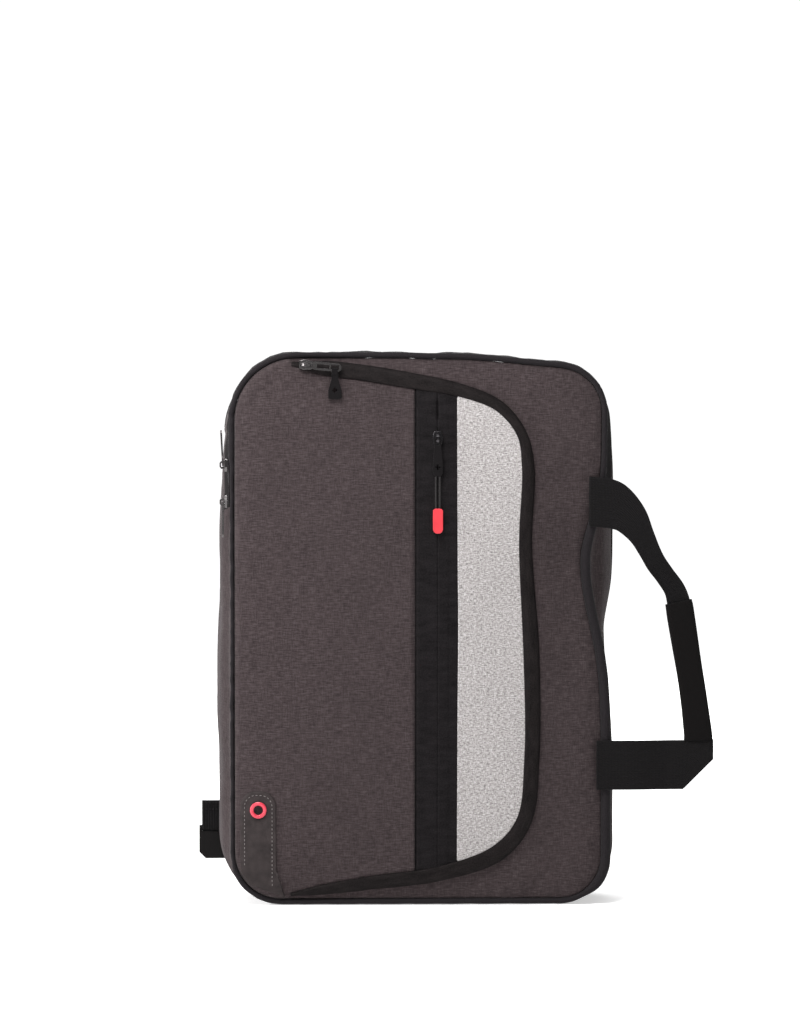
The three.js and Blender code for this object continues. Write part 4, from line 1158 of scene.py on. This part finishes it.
def strap(name, centre, across, off, half, wall, wide):
    """Webbing along a line of points: flat ribs between two thicker selvedges."""
    profile = [(-1, 0), (-0.985, 0.6), (-0.93, 0.95), (-0.86, 0.95)]
    profile += [(s, 0.86) for s in np.linspace(-0.8, 0.8, 13)]
    profile += [(0.86, 0.95), (0.93, 0.95), (0.985, 0.6), (1, 0)]
    loop = profile + [(s, -t) for s, t in profile[-2:0:-1]]
    run = np.concatenate([[0], np.cumsum(np.linalg.norm(np.diff(centre, axis=0), axis=1))])
    half = np.broadcast_to(half, run.shape)
    wall = np.broadcast_to(wall, run.shape)
    points = np.stack([centre + across * (half * s)[:, None] + off * (wall * t)[:, None] for s, t in loop], 1)
    cloth = np.stack([np.stack([run, wide / 2 * s + 0 * run], 1) for s, t in loop], 1)
    sides = len(loop)
    faces = grid_faces(len(run), sides, 0, True, False)
    faces.append(tuple(range(sides)))
    faces.append(tuple(range((len(run) - 1) * sides, len(run) * sides)))
    return mesh_object(name, points.reshape(-1, 3), faces, cloth.reshape(-1, 2))


def handle_webbing():
    """Upper run down to the end of the grip, and the lower run whose end is folded up at 45 degrees."""
    off = np.array([0.0, -1.0, 0.0])
    centre, across, half, wall = handle_frames(np.linspace(0, wrap_last + 0.6, 130))
    upper = strap("handle_webbing_strap", centre, across, off, half, wall, webbing_width)
    finish_piece(upper, webbing, "webbing", "handle_webbing")
    x = np.linspace(root_x + 0.063 * handle_reach, fold_right, 90)
    bottom = handle_low - webbing_width / 2 + np.maximum(0, x - (fold_right - fold_cut))
    top = handle_low + webbing_width / 2 + 0.5 * smooth((x - fold_right + 12) / 12)
    y = np.full(len(x), -front_of_roots - webbing_wall / 2) + handle_set_back * 0.8 * smooth((x - 160) / 40)
    centre = np.stack([x, y, (bottom + top) / 2], 1)
    up = np.broadcast_to([0.0, 0.0, 1.0], centre.shape)
    doubled = 1 + 0.9 * smooth((x - fold_right + fold_cut + 14) / 8)
    lower = strap("handle_lower_strap", centre, up, off, (top - bottom) / 2, webbing_wall / 2 * doubled, webbing_width)
    finish_piece(lower, webbing, "webbing", "handle_webbing")


def strap_tab():
    """Webbing folded round the buckle's rail, both plies sewn together above it."""
    low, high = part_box("strap_tab")
    x = (low.x + high.x) / 2 / MM
    reach = rail_room + tab_wall
    y = low.y / MM + reach
    rail = low.z / MM + reach - 0.4
    top = high.z / MM
    turn = np.radians(np.linspace(180, 360, 15))
    radius = reach - tab_wall / 2
    lead = tab_height - 3 * reach
    down = [(y - radius, z) for z in np.linspace(top, rail + 0.5, 12)]
    bend = [(y + radius * math.cos(a), rail + radius * math.sin(a)) for a in turn]
    step = 2 * radius - tab_wall * 0.98
    rise = [(y + radius - step * smooth(t / 0.45), rail + 0.5 + (top - rail - 0.5) * t) for t in np.linspace(0, 1, 16)]
    path = np.array(down + bend + rise)
    centre = np.stack([np.full(len(path), x), path[:, 0], path[:, 1]], 1)
    ahead = np.gradient(centre, axis=0)
    ahead /= np.linalg.norm(ahead, axis=1)[:, None]
    across = np.broadcast_to([1.0, 0.0, 0.0], centre.shape)
    off = np.cross(ahead, across)
    piece = strap("strap_tab_webbing", centre, across, off, tab_width / 2 + 0.35, tab_wall / 2, tab_width)
    finish_piece(piece, webbing, "webbing", "strap_tab")
    for number, z in enumerate((rail + lead, top - 2)):
        line = np.array([(x + dx, low.y / MM - 0.1, z) for dx in np.linspace(-tab_width / 2 + 2, tab_width / 2 - 2, 12)])
        stitches(f"tab_stitches_{number + 1}", line, 2.6, 1.8, 0.35, piping_cloth, "webbing")


def strand(number):
    """Cord of three twisted yarns between the pull and the red tab."""
    node = f"strip_strand_{number}"
    low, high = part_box(node)
    radius = (high.x - low.x) / 2 / MM
    x = (low.x + high.x) / 2 / MM
    share = np.linspace(0, 1, 90)
    z = high.z / MM + (low.z - high.z) / MM * share
    y = (high.y / MM - radius) + (low.y / MM + radius - (high.y / MM - radius)) * share
    sides = 18
    angles = 2 * np.pi * np.arange(sides) / sides
    lobes = radius * (0.86 + 0.14 * np.abs(np.cos(1.5 * (angles[None] + share[:, None] * 26 * (3 - 2 * number)))))
    points = np.stack([
        x + lobes * np.cos(angles)[None],
        y[:, None] + lobes * np.sin(angles)[None],
        np.broadcast_to(z[:, None], lobes.shape),
    ], 2)
    faces = grid_faces(len(share), sides, 0, True, False)
    faces.append(tuple(range(sides)))
    faces.append(tuple(range((len(share) - 1) * sides, len(share) * sides)))
    cloth = np.stack(np.broadcast_arrays(z[:, None], angles[None]), 2)
    piece = mesh_object(f"strand_{number}", points.reshape(-1, 3), faces, cloth.reshape(-1, 2))
    finish_piece(piece, strand_cord, "strand_cord", node)


def handle_wrap():
    rows = np.linspace(wrap_first, wrap_last, 60)
    centre, across, half, wall = handle_frames(rows)
    off = np.array([0.0, -1.0, 0.0])
    swell = 1 + 0.03 * np.sin(np.linspace(0, 9, 60))
    run = np.concatenate([[0], np.cumsum(np.linalg.norm(np.diff(centre, axis=0), axis=1))])

    def ring(extra):
        angles = 2 * np.pi * np.arange(28) / 28
        wide = np.sign(np.cos(angles)) * np.abs(np.cos(angles)) ** 0.35
        deep = np.sign(np.sin(angles)) * np.abs(np.sin(angles)) ** 0.5
        return np.stack([
            centre + across * ((half + extra) * w * swell)[:, None] + off * ((wall + extra) * d * swell)[:, None]
            for w, d in zip(wide, deep)
        ], 1)

    cloth = np.stack(np.broadcast_arrays(run[:, None], np.arange(28)[None] * 2.0), 2)
    piece = slab("handle_sleeve", ring(clearance + wrap_wall), ring(clearance), loop=True, cloth=cloth)
    finish_piece(piece, wrap_cloth, "wrap_cloth", "handle_wrap")


# Hard pieces keep their solids, with rounded edges and a finish

def dress(node, material, rounding):
    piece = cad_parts[node]
    paint(piece, material)
    weld = piece.modifiers.new("weld", "WELD")
    weld.merge_threshold = 0.00002
    bevel = piece.modifiers.new("bevel", "BEVEL")
    bevel.width = rounding * MM
    bevel.segments = 3
    bevel.limit_method = "ANGLE"
    bevel.angle_limit = math.radians(28)
    bevel.harden_normals = False


def dress_hardware():
    for node in ("arc_slider", "arc_pull", "side_slider_lower", "side_pull_lower", "side_slider_upper", "side_pull_upper"):
        dress(node, gunmetal, 0.3)
    dress("strip_slider", black_metal, 0.3)
    dress("strip_pull", puller_rubber, 0.35)
    dress("arc_puller", puller_rubber, 0.35)
    dress("red_tab", tab_red, 0.8)
    dress("strap_buckle", buckle_plastic, 0.6)


def make_floor():
    half = 8
    mesh = bpy.data.meshes.new("floor")
    mesh.from_pydata([(-half, -half, 0), (half, -half, 0), (half, half, 0), (-half, half, 0)], [], [(0, 1, 2, 3)])
    floor = bpy.data.objects.new("floor", mesh)
    scene.collection.objects.link(floor)
    look = Look("floor_white", 0.9, 0.0)
    look.shader.inputs["Base Color"].default_value = (0.85, 0.85, 0.85, 1)
    look.shader.inputs["Emission Color"].default_value = (1, 1, 1, 1)
    reach = look.node("ShaderNodeVectorMath", {0: look.place()}, operation="LENGTH").outputs["Value"]
    glow = look.node("ShaderNodeMapRange", {"Value": reach, "From Min": 0.5, "From Max": 1.6, "To Min": 0.5, "To Max": 0.8})
    look.tree.links.new(glow.outputs["Result"], look.shader.inputs["Emission Strength"])
    mesh.materials.append(look.material)


def make_lights():
    """White surroundings that light the bag less than they show, with a key close above it and a light on its left."""
    world = bpy.data.worlds.new("studio")
    world.use_nodes = True
    nodes = world.node_tree.nodes
    links = world.node_tree.links
    path = nodes.new("ShaderNodeLightPath")
    strength = nodes.new("ShaderNodeMapRange")
    strength.inputs["To Min"].default_value = 0.32
    strength.inputs["To Max"].default_value = 1.05
    links.new(path.outputs["Is Camera Ray"], strength.inputs["Value"])
    nodes["Background"].inputs["Color"].default_value = (1, 1, 1, 1)
    links.new(strength.outputs["Result"], nodes["Background"].inputs["Strength"])
    scene.world = world
    for name, place, size, power in (
        ("key", (-0.3, -0.7, 1.25), 0.6, 26),
        ("left", (-1.9, -0.45, 0.8), 0.9, 44),
        ("rear", (-0.2, 1.8, 1.1), 1.2, 30),
        ("top", (0.1, 0.2, 2.4), 1.6, 14),
    ):
        data = bpy.data.lights.new(name, "AREA")
        data.shape = "SQUARE"
        data.size = size
        data.energy = power
        light = bpy.data.objects.new(name, data)
        light.location = place
        light.rotation_mode = "QUATERNION"
        light.rotation_quaternion = (Vector((0, 0, 0.25)) - Vector(place)).to_track_quat("-Z", "Y")
        scene.collection.objects.link(light)


front_panel()
pocket_fields()
zip_strip()
pocket_band()
corner_patch()
eyelet()
gusset()
piping("front_piping_cord", front_outline, -half_depth, "front_piping")
piping("rear_piping_cord", rear_outline, half_depth, "rear_piping")
main_zip()
back_panel()
handle_webbing()
handle_wrap()
strap_tab()
strand(1)
strand(2)
dress_hardware()
make_floor()
make_lights()
